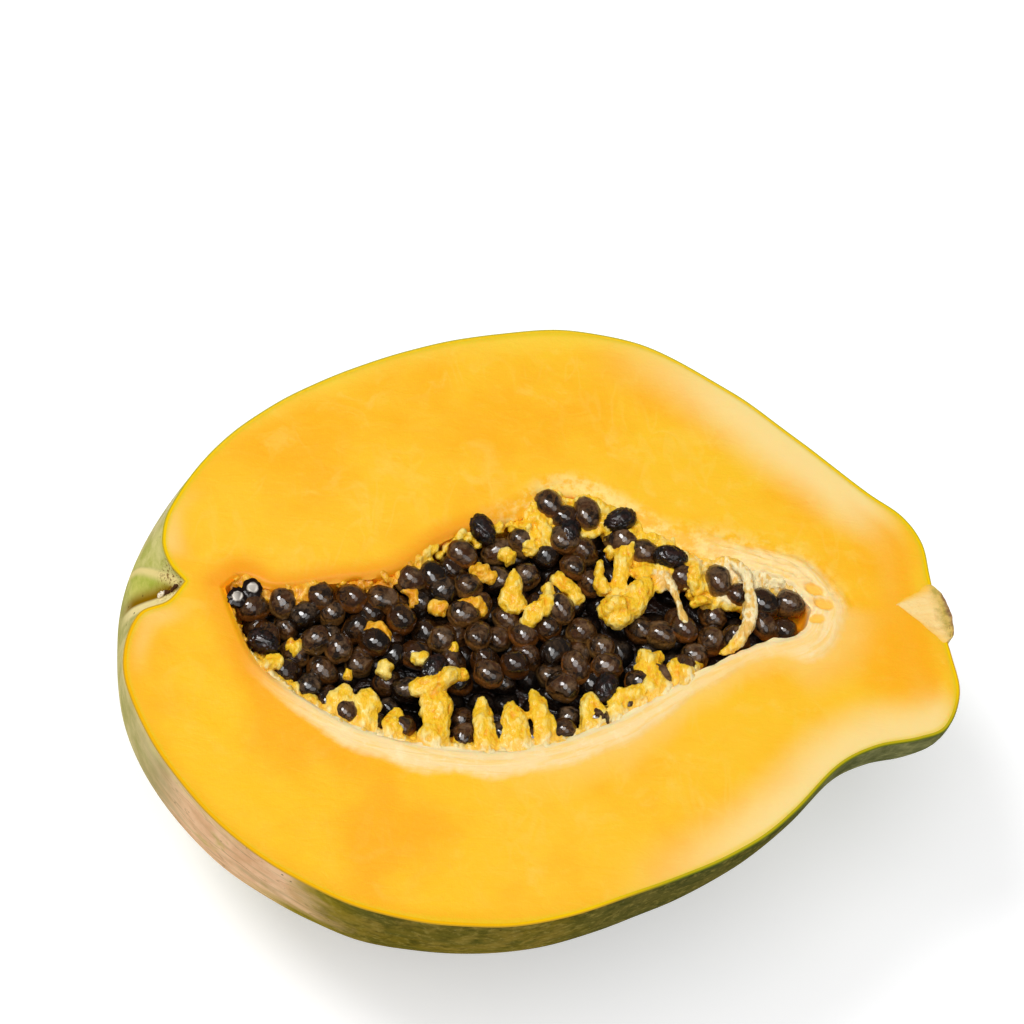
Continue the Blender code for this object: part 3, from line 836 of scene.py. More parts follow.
def seed_material(colours):
    f = Finish("papaya_seed")
    chance, bare, flank, height = f.number("chance"), f.number("bare"), f.number("flank"), f.axis("Z")
    film = f.noise(300.0, 4.0, 0.6, 0.6)
    top_sheen = f.noise(520.0, 3.0, 0.6, 0.4)
    covered = f.ramp(bare, 0.6, 0.2)
    base = f.layers(
        f.mix((film, 0.34, 0.78), colours.seed, colours.seed_coat),
        # painted sheen: amber on the side-facing flanks of a seed, standing in for light through its
        # clear film; and fine veins in the film
        (f.mix((chance, 0.2, 0.9), "985e24", "8c6e40"),
         (f.plus(flank, f.times(film, 0.5)), 0.75, 1.15), covered, 0.75),
        ("9c743c", (f.off(film, 0.5), 0.04, 0.0), covered, 0.22),
        # darker where the film is gone
        ("0d0503", (bare, 0.4, 0.8), 0.9),
        ("120905", (chance, 0.30, 0.0), 0.6),
        # painted reflection: a smoky grey sheen on the upward tops of the seeds
        ("86705c", (flank, 0.60, 0.10), (top_sheen, 0.40, 0.68), (chance, 0.1, 0.5), 0.62),
        # painted shade: seeds are painted near black lower in the heap, and their coat thins there
        ("050100", (height, 0.0712, 0.0676), 0.95))
    dents = f.bump(f.noise(420.0, 4.0, 0.6, 1.0), 0.9, 0.0020)
    normal = f.bump(f.noise(1100.0, 4.0, 0.65), 0.6, 0.0007, dents)
    wet = f.ramp(f.noise(500.0, 2.0, 0.5), 0.38, 0.62, 0.03, 0.16)
    return f.finish(base, 0.5, normal, Coat_Weight=f.ramp(height, 0.0676, 0.0708, 0.1, 1.0),
                    Coat_Roughness=wet, Coat_IOR=1.62, Specular_IOR_Level=0.1,
                    Coat_Tint=(1.0, 0.86, 0.66, 1.0))


def stem_material(colours):
    f = Finish("papaya_stem")
    x, y = f.axis("X"), f.axis("Y")
    grain = f.noise((320, 900, 900), 4.0, 0.65, 0.5)
    fine = f.noise(420.0, 4.0, 0.65)
    fibre = f.noise((700, 260, 700), 3.0, 0.6)
    # share of the way from the middle of the root to its side
    across = f.minus(y, 0.0045)
    aside = f.off(across, f.times(f.minus(0.0880, x), 0.20))
    side = f.math("DIVIDE", aside, f.times(f.minus(x, 0.0790), 0.92))
    # distance out from the slanting line between root and cork
    outward = f.plus(x, f.times(across, 0.24))
    base = f.layers(
        f.mix((grain, 0.30, 0.70), colours.stem, "fddc94"),
        ("d9a860", (fine, 0.52, 0.70), 0.35),
        # the root fades into the flesh at its sides
        ("ffc038", (side, 0.45, 1.0), 0.9),
        (f.mix((fine, 0.4, 0.62), "dcb860", "b8a048"),
         (f.plus(outward, f.times(fine, 0.0022)), 0.0880, 0.0908)),
        (f.mix((fine, 0.4, 0.62), "b0905c", "86603e"),
         (f.plus(outward, f.times(fine, 0.0018)), 0.0904, 0.0918)),
        ("6e3218", (fibre, 0.50, 0.58), (outward, 0.0880, 0.0898), (y, 0.004, 0.000), 0.85))
    return f.finish(base, 0.6, f.bump(grain, 0.5, 0.0006), Specular_IOR_Level=0.2,
                    Subsurface_Weight=0.1, Subsurface_Scale=0.002)


# --- pieces

def gaps_to_edges(spots):
    """Distance of each spot from the fruit's outline and the hollow's, and its place along."""
    places = [i / 600 for i in range(601)]
    gaps = []
    for edges in ((NEAR_EDGE, FAR_EDGE), (HOLLOW_NEAR, HOLLOW_FAR)):
        points = outline_points(*(smooth_line(edge, places) for edge in edges))
        tree = KDTree(len(points))
        for i, point in enumerate(points):
            tree.insert((*point, 0), i)
        tree.balance()
        found = [tree.find((spot[0], spot[1], 0)) for spot in spots]
        gaps.append(np.array([item[2] for item in found]))
    return gaps[0], gaps[1], np.array([item[1] for item in found]) * 0.25


class PAPAYA_OT_skin(bpy.types.Operator):
    """Thin waxy skin round the outside of the half"""
    bl_idname = "papaya.skin"
    bl_label = "Skin"

    def execute(self, context):
        skin = fruit_body("fine_skin")
        outer_count = len(skin.data.vertices)
        apply_modifier(skin, "SOLIDIFY", thickness=context.scene.papaya_sizes.skin_thickness,
                       offset=-1.0)
        store(skin, "inner", (np.arange(len(skin.data.vertices)) >= outer_count) * 1.0)
        halve(skin, outer_count)
        bridge_open_rims(skin)
        smooth(skin, 50)
        wear(skin, skin_material(context.scene.papaya_colours))
        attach(skin, "root")
        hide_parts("skin")
        self.remnant()
        return {"FINISHED"}

    def remnant(self):
        """Dried rest of the flower in the notch."""
        bits = [rope(*bit, number) for number, bit in enumerate(FLOWER_REST)]
        rest = join_objects("flower_rest", bits)
        apply_modifier(rest, "REMESH", mode="VOXEL", voxel_size=FLOWER_GRAIN * MM)
        heights = roughen(rest, FLOWER_RELIEF)
        smooth(rest)
        x = spots_of(rest)[:, 0]
        store(rest, "pale", ramp(-82.5, -83.0, x) * ramp(-0.15, 0.0, heights))
        f = Finish("papaya_flower_rest")
        base = f.mix(f.number("pale"), "4a2c14", "efe2cc")
        wear(rest, f.finish(base, 0.8, f.bump(f.noise(2500.0), 0.4, 0.0002),
                            Specular_IOR_Level=0.1))
        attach(rest, "root")
        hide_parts("skin")


class PAPAYA_OT_flesh(bpy.types.Operator):
    """Flesh with its cut face, the pale lining and the seed hollow"""
    bl_idname = "papaya.flesh"
    bl_label = "Flesh"

    def execute(self, context):
        sizes = context.scene.papaya_sizes
        outer = fruit_body("flesh_outside")
        apply_modifier(outer, "DISPLACE", strength=-sizes.skin_thickness, mid_level=0.0,
                       direction="NORMAL")
        hollow = add_sphere("flesh_hollow", HOLLOW_SEGMENTS, RINGS)
        shape_body(hollow, HOLLOW_NEAR, HOLLOW_FAR, HOLLOW_DEPTH, RINGS, waves=HOLLOW_WAVES)
        for part in (outer, hollow):
            halve(part)
        edit_whole(hollow, bpy.ops.mesh.flip_normals)
        wall_count = len(hollow.data.vertices)
        flesh = join_objects("fine_flesh", [hollow, outer])
        bridge_open_rims(flesh, CUT_FACE_CUTS)
        face_outward(flesh)
        self.detail(flesh, wall_count, sizes.lining_width / MM)
        smooth(flesh, 60)
        wear(flesh, flesh_material(context.scene.papaya_colours))
        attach(flesh, "root")
        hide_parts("flesh")
        return {"FINISHED"}

    def detail(self, flesh, wall_count, lining_width):
        """Masks for the material and the shallow relief of the cut face."""
        near, far, _ = hollow_lines()
        spots = spots_of(flesh)
        x, y = spots[:, 0], spots[:, 1]
        flat = np.zeros(len(x))
        on_cut = spots[:, 2] > -0.001
        skin_gap, rim_gap, along = gaps_to_edges(spots)
        near_side = fade(-2.0, 2.0, y - (line_height(far, x) - line_height(near, x)) / 2)
        tip = ramp(50, 61, x)
        sway = noise_row(np.column_stack((x / 8, flat + 3.0, flat)))
        streak = noise_row(np.column_stack((along / 9, rim_gap * 1.2, flat + 5.0)))
        wave = noise_row(np.column_stack((x, y, flat)), 7.0)
        grain = noise_row(spots, 1.4)
        # the pale lining: how wide it is, and how much of it shows
        band = lining_width * (0.55 + 0.45 * ramp(-66, -30, x)) * (1 + 0.22 * sway) * (1 + 0.2 * tip)
        band *= 1 - 0.35 * near_side * ramp(16, 34, x) * fade(50, 58, x)
        share = np.maximum(near_side * ramp(-68, -46, x), tip)
        share = np.maximum(share, (1 - near_side) * ramp(30, 48, x) * 0.9)
        lining = share * fade(0.72, 1.12, rim_gap / band + 0.10 * grain)
        thin = near_side * ramp(26, 40, x) * fade(52, 59, x) * ramp(1.2, 2.4, rim_gap)
        lining *= 1 - 0.35 * thin
        # a soft ridge with a grooved lining, falling off at the rim, and the torn far edge
        lift = 0.35 * share * np.sin(np.pi * np.clip(rim_gap / band, 0, 1)) ** 0.7
        lift += lining * (0.22 * streak + 0.12 * grain)
        lift -= (0.9 - 0.3 * near_side) * fade(0.0, 1.3, rim_gap)
        reach = 6.5 + 5.5 * ramp(26, 40, x)
        torn = (1 - near_side) * ramp(-16, -4, x) * fade(0.3, 1.0, rim_gap / reach)
        lift += torn * (0.55 * grain + 0.3 * streak)
        lift -= torn * 1.3 * fade(0.0, 5.0, rim_gap) * fade(38, 50, x)
        lift += 0.12 * wave * ramp(0.5, 3.0, skin_gap)
        # shallow cells near the stem, and a level seat under its root
        cell = flat
        for cell_x, cell_y, half, lean in NET_CELLS:
            ahead = (x - cell_x) * np.cos(lean) + (y - cell_y) * np.sin(lean)
            aside = (y - cell_y) * np.cos(lean) - (x - cell_x) * np.sin(lean)
            away = np.hypot(ahead / half, aside / (0.62 * half))
            cell = np.maximum(cell, fade(0.75, 1.05, away))
        lift = lift * (1 - cell) - 0.25 * cell
        stub = fade(7.5, 10.0, np.hypot(x - 85.0, y - 1.2))
        lift = lift * (1 - stub) - 0.06 * stub
        spots[:, 2] += np.where(on_cut, lift, 0.0)
        put_spots(flesh, spots)
        halo = share * near_side * fade(0.8, 2.4, rim_gap / band) * ramp(-20, 20, x)
        wall = (np.arange(len(spots)) < wall_count) * 1.0
        wall_lining = share * 0.8 * ramp(-5.0, 0.0, spots[:, 2])
        store(flesh, "near_side", near_side)
        store(flesh, "along", along)
        for name, on_face, elsewhere in (
                ("skin_gap", skin_gap, 30.0), ("rim_gap", rim_gap, 0.0), ("wall", 0.0, wall),
                ("lining", lining * (1 - cell), wall_lining), ("torn", torn, 0.0),
                ("cell", cell, 0.0), ("halo", 0.6 * halo, 0.0)):
            store(flesh, name, np.where(on_cut, on_face, elsewhere))


def strand_ends():
    ends = []
    near, far, _ = hollow_lines()
    for side, line, strands in ((-1, near, NEAR_STRANDS), (1, far, FAR_STRANDS)):
        for x, lean, reach, radius in strands:
            wall = side * height_at(line, x)
            root = Vector((x - lean * 0.3, wall + side * STRAND_ROOT, STRAND_LEVEL))
            tip = Vector((x + lean, wall - side * reach, STRAND_TIP_LEVEL))
            ends.append((root, tip, radius))
    return ends


def seed_places():
    """Let seeds fall one by one into the hollow; each rests on those below it."""
    chance = random.Random(SEED_RANDOM)
    near, far, depth = hollow_lines()
    outline = outline_points(near, far)
    strands = strand_ends()
    seeds = []

    def landing(x, y):
        low, high, deep = -height_at(near, x), height_at(far, x), height_at(depth, x)
        if not low < y < high:
            return None
        if min(math.hypot(x - a, y - b) for a, b in outline) < SEED_WALL_ROOM:
            return None
        half, off = (high - low) / 2, abs(y - (high + low) / 2)
        level = max(SEED_FLOOR, SEED_WALL_ROOM - deep * math.sqrt(1 - (off / half) ** 2))
        resting = level < HEAP_CORE_TOP + HEAP_CORE_REACH
        for spot, _, _ in seeds:
            away = math.hypot(spot.x - x, spot.y - y)
            if away < SEED_REACH:
                touch = spot.z + math.sqrt(SEED_REACH**2 - away**2)
                if touch >= level:
                    level, resting = touch, True
        if level > SEED_CEILING or not resting:
            return None
        if half * math.sqrt(1 - min(level / deep, 0) ** 2) - off < SEED_WALL_ROOM:
            return None
        spot = Vector((x, y, level))
        for root, tip, radius in strands:
            along = tip - root
            share = min(max((spot - root).dot(along) / along.length_squared, 0.0), 1.0)
            if (spot - root - along * share).length < radius + SEED_STRAND_ROOM:
                return None
        return spot

    for _ in range(SEED_LIMIT):
        best = None
        for _ in range(SEED_TRIES):
            spot = landing(chance.uniform(*SEED_X), chance.uniform(*SEED_Y))
            if spot is not None and (best is None or spot.z < best.z):
                best = spot
        turn, size = any_turn(chance), chance.uniform(*SEED_SIZES)
        if best is not None:
            seeds.append((best, turn, size))
    return seeds


def any_turn(chance):
    return tuple(chance.uniform(-math.pi, math.pi) for _ in range(3))


def wall_seed_places(seeds):
    """More seeds pressed against the walls, where the solids keep their distance."""
    chance = random.Random(WALL_SEED_RANDOM)
    near, far, _ = hollow_lines()
    outline = outline_points(near, far)
    found = [(Vector(place), lying_at(heading), 1.0) for *place, heading in EDGE_SEEDS]
    spots = [spot for spot, _, _ in seeds + found]
    spots += [Vector(place[:3]) for place in BARE_SEEDS]
    for _ in range(WALL_SEED_TRIES):
        x = chance.uniform(*WALL_SEED_X)
        low, high = -height_at(near, x), height_at(far, x)
        y = chance.uniform(low, high)
        spot = Vector((x, y, chance.uniform(*WALL_SEED_LEVELS[y > (low + high) / 2])))
        gap = min(math.hypot(x - a, y - b) for a, b in outline)
        space = min((spot - other).length for other in spots)
        if WALL_SEED_GAPS[0] < gap < WALL_SEED_GAPS[1] and space > WALL_SEED_SPACE:
            found.append((spot, any_turn(chance), chance.uniform(*WALL_SEED_SIZES)))
            spots.append(spot)
    return found


def lying_at(heading):
    """Turn of a seed that lies level and points to a heading in degrees."""
    return math.pi / 2, 0.0, math.radians(heading)


def seed_blank(sizes, cuts):
    """One seed at its true size in millimetres, blunt at one end."""
    deselect_all()
    bpy.ops.mesh.primitive_cube_add(size=1.0)
    blank = bpy.context.active_object
    edit_whole(blank, bpy.ops.mesh.subdivide, number_cuts=cuts)
    edit_whole(blank, bpy.ops.transform.tosphere, value=1.0)
    for corner in blank.data.vertices:
        at = corner.co.normalized()
        width = sizes.seed_width / 2 / MM * (1 - 0.10 * at.z)
        corner.co = (at.x * width, at.y * width, at.z * sizes.seed_length / 2 / MM)
    return blank


def coated_form(at, number, bare, size, stretch):
    """Corner of a seed in its soft coat, dented by noise."""
    probe = at / 2.6 + Vector((number * 3.1, 0, 0))
    dent = noise.noise(probe) * 0.14 + noise.noise(probe * 2.2) * (0.06 + 0.10 * bare)
    return Vector((at.x, at.y, at.z * stretch)) * size * (1 + dent)


def creased_form(at, number):
    """Corner of a seed without its coat, slimmer and wrinkled."""
    form = Vector((at.x * 0.80, at.y * 0.78, at.z * 1.02))
    probe = form + Vector((number * 9.7, 0, 0))
    crease = abs(noise.noise(probe / 0.80)) * 0.70 + abs(noise.noise(probe / 0.42)) * 0.40
    return form * (1.08 - 0.36 * crease)


def seed_copy(blank, spot, turn, form, *looks):
    """Another seed: the blank's corners, formed by a function, turned and set in place."""
    copy = blank.copy()
    copy.data = blank.data.copy()
    bpy.context.scene.collection.objects.link(copy)
    matrix = Matrix.Translation(spot)
    for angle, axis in reversed(list(zip(turn, "XYZ"))):
        matrix = matrix @ Matrix.Rotation(angle, 4, axis)
    for corner in copy.data.vertices:
        corner.co = to_world(matrix @ form(corner.co, *looks))
    return copy


class PAPAYA_OT_seeds(bpy.types.Operator):
    """Heap of wet dark seeds in the hollow"""
    bl_idname = "papaya.seeds"
    bl_label = "Seeds"

    def execute(self, context):
        blank = seed_blank(context.scene.papaya_sizes, 3)
        seeds = seed_places()
        seeds += wall_seed_places(seeds)
        chance = random.Random(SEED_LOOKS_RANDOM)
        copies, values = [], {"chance": [], "bare": []}
        for number, (spot, turn, size) in enumerate(seeds):
            bare = 0.9 if chance.random() < LOST_COAT_SHARE else chance.random() * 0.3
            tone, stretch = chance.random(), chance.uniform(0.98, 1.12)
            copies.append(seed_copy(blank, spot, turn, coated_form, number, bare, size, stretch))
            values["chance"] += [tone] * len(blank.data.vertices)
            values["bare"] += [bare] * len(blank.data.vertices)
        bpy.data.objects.remove(blank, do_unlink=True)
        made = join_objects("fine_seeds", copies)
        for name, row in values.items():
            store(made, name, row)
        smooth(made)
        # how side-facing each corner is; the seed material paints an amber sheen on the flanks and a
        # grey sheen on the tops from it
        store(made, "flank", fade(0.15, 0.95, outward_of(made)[:, 2]))
        wear(made, seed_material(context.scene.papaya_colours))
        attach(made, "root")
        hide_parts("seeds")
        self.bed()
        return {"FINISHED"}

    def bed(self):
        """Painted shade: a dark, glossy mass in place of the lower seeds, seen only through gaps."""
        bed = add_sphere("seed_heap_shade", 48, BED_RINGS)
        shape_body(bed, HOLLOW_NEAR, HOLLOW_FAR, HOLLOW_DEPTH, BED_RINGS)
        apply_modifier(bed, "DISPLACE", strength=-HEAP_CORE_ROOM * MM, mid_level=0.0,
                       direction="NORMAL")
        slice_top(bed, (CUT_HEIGHT + HEAP_CORE_TOP) * MM)
        f = Finish("papaya_seed_heap_shade")
        base = f.mix((f.noise(300.0), 0.4, 0.6), "0c0604", "2a160c")
        wear(bed, f.finish(base, 0.35, f.bump(f.noise(400.0), 0.6, 0.002)))
        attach(bed, "root")
        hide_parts("seeds")


def rope(points, radii, number, flat=1.0):
    """One strand of pulp: a ball drawn out along a line, with an uneven girth."""
    rings = ROPE_RINGS
    strand = add_sphere("strand", 12, rings)
    path = smooth_line(points, [i / rings for i in range(rings + 1)])
    marks = [i / (len(radii) - 1) for i in range(len(radii))]
    for corner in strand.data.vertices:
        i = ring_of(corner, rings)
        share = i / rings
        ahead = path[min(i + 1, rings)] - path[max(i - 1, 0)]
        girth = float(np.interp(share, marks, radii))
        girth *= (1 - abs(2 * share - 1) ** 8) ** 0.5
        turn = ahead.to_track_quat("X", "Z")
        around = Vector((0, corner.co.y, corner.co.z)).normalized()
        girth *= 1 + 0.45 * noise.noise(Vector((number * 5.3, share * 4.0, around.y * 0.8)))
        around.z *= flat
        corner.co = to_world(path[i] + turn @ around * girth if 0 < i < rings else path[i])
    return strand


def shelf(side, start, stop, count, reach, slope, sizes, chance):
    """Lumps of pulp that line one wall and slope down into the hollow."""
    near, far, _ = hollow_lines()
    line = near if side < 0 else far
    made = []
    for k in range(count):
        x = chance.uniform(start, stop)
        inward = reach * chance.random() ** 1.4
        size = chance.uniform(*sizes)
        y = side * (height_at(line, x) - inward + 0.6)
        spot = Vector((x, y, -0.7 * size - 0.4 - slope * inward + chance.uniform(-0.7, 0.3)))
        tail = Vector((chance.uniform(-1.4, 1.4), -side * chance.uniform(0.2, 2.4),
                       chance.uniform(-1.2, 0.1)))
        made.append(rope((spot - tail * 0.5, spot, spot + tail), (size, size, size * 0.7), k, 0.8))
    return made


class PAPAYA_OT_pulp(bpy.types.Operator):
    """Strands, clumps and granular pulp over and between the seeds"""
    bl_idname = "papaya.pulp"
    bl_label = "Pulp strands"

    def execute(self, context):
        ropes, fibres = self.strands()
        for points, radii in PULP_CLUMPS:
            ropes.append(rope(points, radii, len(ropes), 0.85))
        chance = random.Random(SHELF_RANDOM)
        for side, shape in ((-1, NEAR_SHELF), (1, FAR_SHELF), (1, FAR_LEFT_SHELF),
                            (-1, NEAR_LEFT_SHELF), (1, FAR_TIP_SHELF)):
            ropes += shelf(side, *shape, chance)
        for number, (points, radius) in enumerate(fibres, FIRST_FIBRE):
            girths = [radius * girth for girth in FIBRE_GIRTHS]
            ropes.append(rope(points, girths, number, 0.9))
        pulp = join_objects("fine_pulp", ropes)
        apply_modifier(pulp, "REMESH", mode="VOXEL", voxel_size=PULP_GRAIN * MM)
        heights = roughen(pulp, PULP_RELIEF, (1.0, 0.6, 1.0))
        smooth(pulp)
        self.masks(pulp)
        # painted shade: how high each corner stands in the relief; the material paints low points
        # deeper orange and crests lighter
        store(pulp, "relief_shade", ramp(-0.30, 0.30, heights))
        wear(pulp, pulp_material())
        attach(pulp, "root")
        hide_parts("flesh")
        return {"FINISHED"}

    def strands(self):
        """Columns of pulp off the walls, webs between the near ones, and the fibres on those."""
        noise.seed_set(STRAND_RANDOM)
        ropes, fibres, middles = [], [], []
        strands = strand_ends()
        for root, tip, radius in strands:
            sway = noise.noise_vector(root / 7.0) * 1.8
            middle = root.lerp(tip, 0.5) + Vector((sway.x, 0, 0.5 + abs(sway.z)))
            wide = radius * (1.6 + 0.5 * noise.noise(root * 3.7) if root.y < 0 else 1.15)
            middles.append(middle)
            inner = root.lerp(middle, 0.5) + noise.noise_vector(root * 1.3) * 0.9
            outer = middle.lerp(tip, 0.6) + noise.noise_vector(tip * 1.3) * 1.1
            girths = [wide * girth for girth in STRAND_GIRTHS]
            ropes.append(rope((root, inner, middle, outer, tip), girths, len(ropes), 0.62))
            for side in FIBRE_SIDES if root.y < 0 else ():
                aside = Vector((side * wide * 0.85, 0, 0.9 - 0.6 * abs(side)))
                end = tip.lerp(middle, 0.25 * abs(side))
                fibres.append(((root + aside * 1.3, inner + aside, middle + aside * 0.9,
                                outer + aside * 0.75, end + aside * 0.6), radius))
        for (root, _, _), (other, _, _), middle in zip(strands, strands[1:], middles[1:]):
            if root.y < 0 and other.y < 0 and abs(other.x - root.x) < WEB_SPAN:
                start = root + Vector((0.6, 1.0, -1.4))
                stop = middle.lerp(other, 0.4) + Vector((-0.6, 0, -1.2))
                halfway = (start + stop) / 2 + Vector((0, 0.6, -0.8))
                ropes.append(rope((start, halfway, stop), WEB_GIRTHS, len(ropes), 0.5))
        return ropes, fibres

    def masks(self, pulp):
        """Where the pulp is pale, stringy or deep orange; the deep orange is partly painted shade low
        in the hollow.
        """
        near, far, _ = hollow_lines()
        x, y, z = spots_of(pulp).T
        near_gap, far_gap = y + line_height(near, x), line_height(far, x) - y
        pale = np.maximum(fade(-0.5, 3.2, near_gap), fade(0.0, 5.0, far_gap) * ramp(24, 42, x))
        store(pulp, "pale", pale * ramp(-4.5, -1.0, z))
        loop = ramp(36, 40, x) * fade(8, 11, np.abs(y - 0.5))
        across = np.abs((y - 1.0) + 2.35 * (x - 29.0)) / 2.5
        strand = fade(1.2, 2.4, across) * ramp(-7, -5, y) * (y < 8)
        store(pulp, "loop", np.maximum(loop, strand) * ramp(-2.6, -1.4, z))
        # painted shade: pulp lower down in the hollow is painted deep orange; the far left and the
        # middle of the heap get deep orange too
        left = fade(-30, -24, x) * (y > -13) * 0.8
        between = fade(-12, -9, x) * ramp(-9, -6, y) * fade(7.5, 9.0, y) * 0.55
        store(pulp, "deep", np.maximum(fade(-5.0, -2.6, z), np.maximum(left, between)))


class PAPAYA_OT_stem(bpy.types.Operator):
    """Pale root and corky cap of the stem, cut in half"""
    bl_idname = "papaya.stem"
    bl_label = "Stem stub"

    def execute(self, context):
        stub = add_sphere("fine_stem", 64, STUB_RINGS)
        profile = smooth_line(STUB_PROFILE, [i / STUB_RINGS for i in range(STUB_RINGS + 1)])
        for corner in stub.data.vertices:
            x, radius = profile[ring_of(corner, STUB_RINGS)]
            turn = math.atan2(-corner.co.z, -corner.co.y)
            c, s = math.cos(turn), math.sin(turn)
            rough = 1 + 0.10 * noise.noise(Vector((x / 2, c * 2, abs(s) * 2)))
            across = -radius * c * rough
            ragged = 0.35 * noise.noise(Vector((radius * c, radius * abs(s), 5)) / 1.6)
            taper = 1.6 * (1 - ease(79.5, 87.0, x))
            corner.co = to_world((x + ragged - 0.20 * across - 0.2,
                                  across + STUB_SHIFT_Y + taper,
                                  -radius * s * rough + STUB_RISE))
        face_outward(stub)
        slice_top(stub, (CUT_HEIGHT + STUB_RISE) * MM, threshold=1e-6)
        smooth(stub, 40)
        wear(stub, stem_material(context.scene.papaya_colours))
        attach(stub, "root")
        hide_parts("stem_stub")
        return {"FINISHED"}


class PAPAYA_OT_bare_seeds(bpy.types.Operator):
    """Wrinkled seeds that lost their wet coats, and the two that the knife cut"""
    bl_idname = "papaya.bare_seeds"
    bl_label = "Bare and cut seeds"

    def execute(self, context):
        self.wrinkled(context)
        self.cut()
        return {"FINISHED"}

    def wrinkled(self, context):
        """Dry, darker seeds with creased sides."""
        blank = seed_blank(context.scene.papaya_sizes, 15)
        copies = [seed_copy(blank, Vector(place), lying_at(heading - 90), creased_form, number)
                  for number, (*place, heading) in enumerate(BARE_SEEDS)]
        bpy.data.objects.remove(blank, do_unlink=True)
        made = join_objects("bare_seeds", copies)
        smooth(made)
        f = Finish("papaya_bare_seed")
        rough = f.noise(600.0, 4.0, 0.6)
        base = f.mix((rough, 0.42, 0.62), "080302", "2c140c")
        wear(made, f.finish(base, 0.45, f.bump(rough, 0.9, 0.0010), Coat_Weight=0.7,
                            Coat_Roughness=0.12, Coat_IOR=1.5, Specular_IOR_Level=0.2))
        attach(made, "root")
        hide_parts("seeds")

    def cut(self):
        """Two small seeds sliced level with the cut face, with white cores."""
        halves = []
        for number, (x, y, size) in enumerate(CUT_SEEDS):
            deselect_all()
            bpy.ops.mesh.primitive_uv_sphere_add(segments=28, ring_count=16, radius=1.0)
            half = bpy.context.active_object
            slice_top(half, 0.12)
            select_parts(half, "FACE", lambda face: face.normal.z > 0.9 and len(face.verts) > 8)
            for inset in (0.40, 0.12):
                bpy.ops.mesh.inset(thickness=inset)
                bpy.ops.transform.translate(value=(0, 0, 0.10))
            bpy.ops.object.mode_set(mode="OBJECT")
            for corner in half.data.vertices:
                ragged = 1 + 0.22 * noise.noise(corner.co * 3.4 + Vector((number * 7.0, 0, 0)))
                spot = Vector((corner.co.x * size * ragged, corner.co.y * size * 1.1 * ragged,
                               corner.co.z * size * 1.1))
                corner.co = to_world(Vector((x, y, -0.1)) + spot)
            halves.append(half)
        made = join_objects("cut_seeds", halves)
        smooth(made, 40)
        core = []
        for corner in made.data.vertices:
            at = to_table(corner.co)
            near = min(math.hypot(at.x - x, at.y - y) / size for x, y, size in CUT_SEEDS)
            core.append(1 - ease(0.46, 0.56, near) if at.z > -0.6 else 0.0)
        store(made, "core", core)
        f = Finish("papaya_cut_seed")
        grain = f.noise(900.0, 3.0, 0.6)
        base = f.mix(f.number("core"), f.mix(grain, "050202", "1c0d07"),
                     f.mix(grain, "fffaf0", "e4d4c0"))
        wear(made, f.finish(base, 0.5, f.bump(grain, 0.3, 0.0004), Coat_Weight=0.3,
                            Coat_Roughness=0.1, Specular_IOR_Level=0.1))
        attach(made, "root")
        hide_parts("seeds")


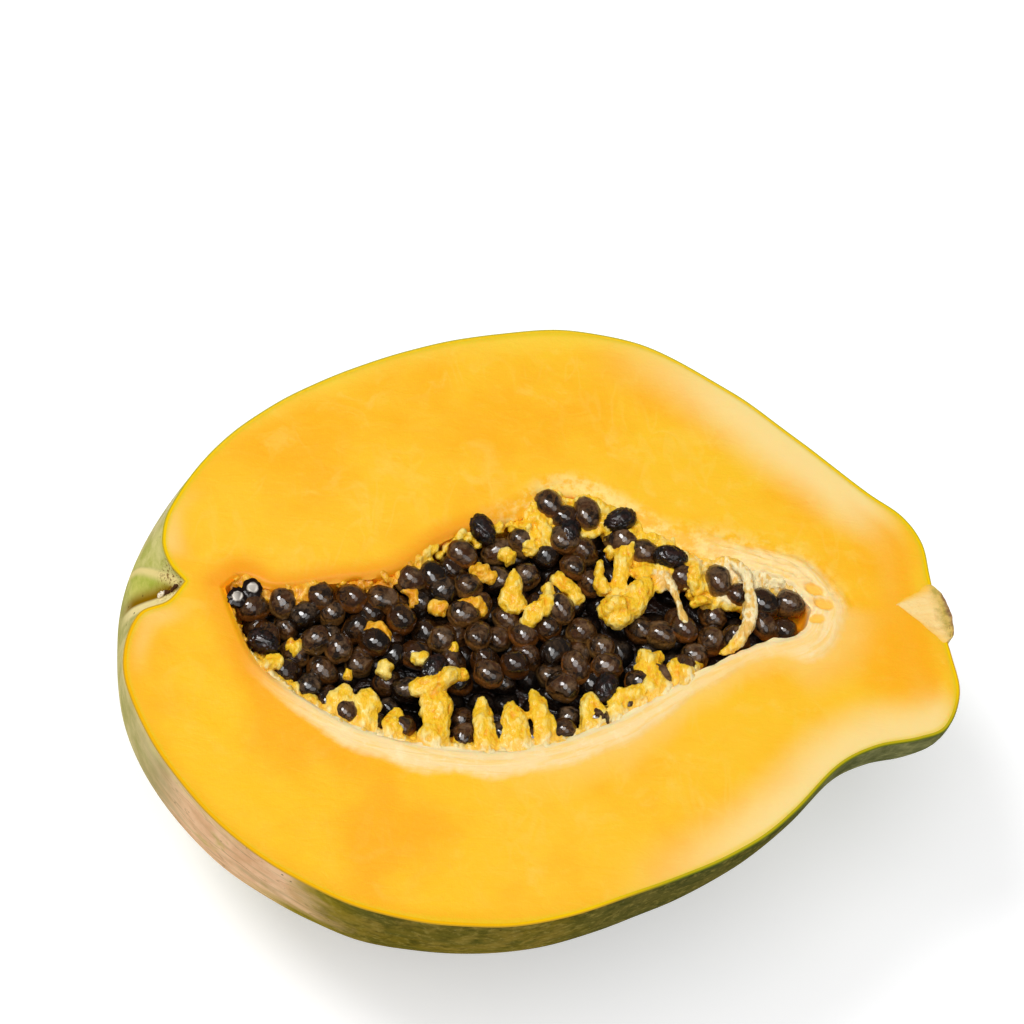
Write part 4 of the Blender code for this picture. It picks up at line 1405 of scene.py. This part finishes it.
class PAPAYA_OT_stage(bpy.types.Operator):
    """Pale floor, soft studio light and the camera"""
    bl_idname = "papaya.stage"
    bl_label = "Stage"

    def execute(self, context):
        deselect_all()
        bpy.ops.mesh.primitive_plane_add(size=FLOOR_SIZE)
        floor = bpy.context.active_object
        floor.name = "floor"
        f = Finish("floor_paper")
        base = f.mix((f.noise(8.0), 0.3, 0.7), "dedede", "e2e2e2")
        wear(floor, f.finish(base, 0.9, Emission_Color=(0.97, 0.975, 1, 1),
                             Emission_Strength=FLOOR_GLOW, Specular_IOR_Level=0.0))
        self.world(context)
        for lamp in LAMPS:
            self.lamp(context, *lamp)
        self.camera(context)
        context.scene.view_settings.view_transform = "Standard"
        return {"FINISHED"}

    def world(self, context):
        world = bpy.data.worlds.new("studio")
        world.use_nodes = True
        glow = world.node_tree.nodes["Background"].inputs
        glow["Color"].default_value = (1, 1, 1, 1)
        glow["Strength"].default_value = WORLD_LIGHT
        context.scene.world = world

    def lamp(self, context, name, place, size, power):
        data = bpy.data.lights.new(name, "AREA")
        data.energy = power
        data.shape = "DISK"
        data.size = size
        lamp = bpy.data.objects.new(name, data)
        lamp.location = place
        aim = Vector(LAMP_AIM) - Vector(place)
        lamp.rotation_euler = aim.to_track_quat("-Z", "Y").to_euler()
        context.scene.collection.objects.link(lamp)

    def camera(self, context):
        data = bpy.data.cameras.new("camera")
        data.lens = CAMERA_LENS
        data.sensor_width = 36.0
        camera = bpy.data.objects.new("camera", data)
        matrix = Matrix.Translation(to_world(CAMERA_AIM))
        for angle, axis in ((CAMERA_TURN, "Z"), (90 - CAMERA_HEIGHT, "X"), (CAMERA_ROLL, "Z")):
            matrix = matrix @ Matrix.Rotation(math.radians(angle), 4, axis)
        camera.matrix_world = matrix @ Matrix.Translation((0, 0, CAMERA_DISTANCE))
        context.scene.collection.objects.link(camera)
        context.scene.camera = camera


class PAPAYA_PT_panel(bpy.types.Panel):
    bl_idname = "PAPAYA_PT_panel"
    bl_label = "Papaya half"
    bl_space_type = "VIEW_3D"
    bl_region_type = "UI"
    bl_category = "Papaya"

    def draw(self, context):
        for piece in PIECES:
            self.layout.operator(piece)
        for group in (context.scene.papaya_sizes, context.scene.papaya_colours):
            for key in group.__annotations__:
                self.layout.prop(group, key)


PIECES = ("papaya.skin", "papaya.flesh", "papaya.seeds", "papaya.bare_seeds", "papaya.pulp",
          "papaya.stem", "papaya.stage")
CLASSES = (PapayaSizes, PapayaColours, PAPAYA_OT_skin, PAPAYA_OT_flesh, PAPAYA_OT_seeds,
           PAPAYA_OT_bare_seeds, PAPAYA_OT_pulp, PAPAYA_OT_stem, PAPAYA_OT_stage, PAPAYA_PT_panel)


def register():
    for item in CLASSES:
        bpy.utils.register_class(item)
    bpy.types.Scene.papaya_sizes = bpy.props.PointerProperty(type=PapayaSizes)
    bpy.types.Scene.papaya_colours = bpy.props.PointerProperty(type=PapayaColours)


def unregister():
    del bpy.types.Scene.papaya_colours
    del bpy.types.Scene.papaya_sizes
    for item in reversed(CLASSES):
        bpy.utils.unregister_class(item)


def main():
    register()
    for piece in PIECES:
        group, name = piece.split(".")
        getattr(getattr(bpy.ops, group), name)()


if __name__ == "__main__":
    main()
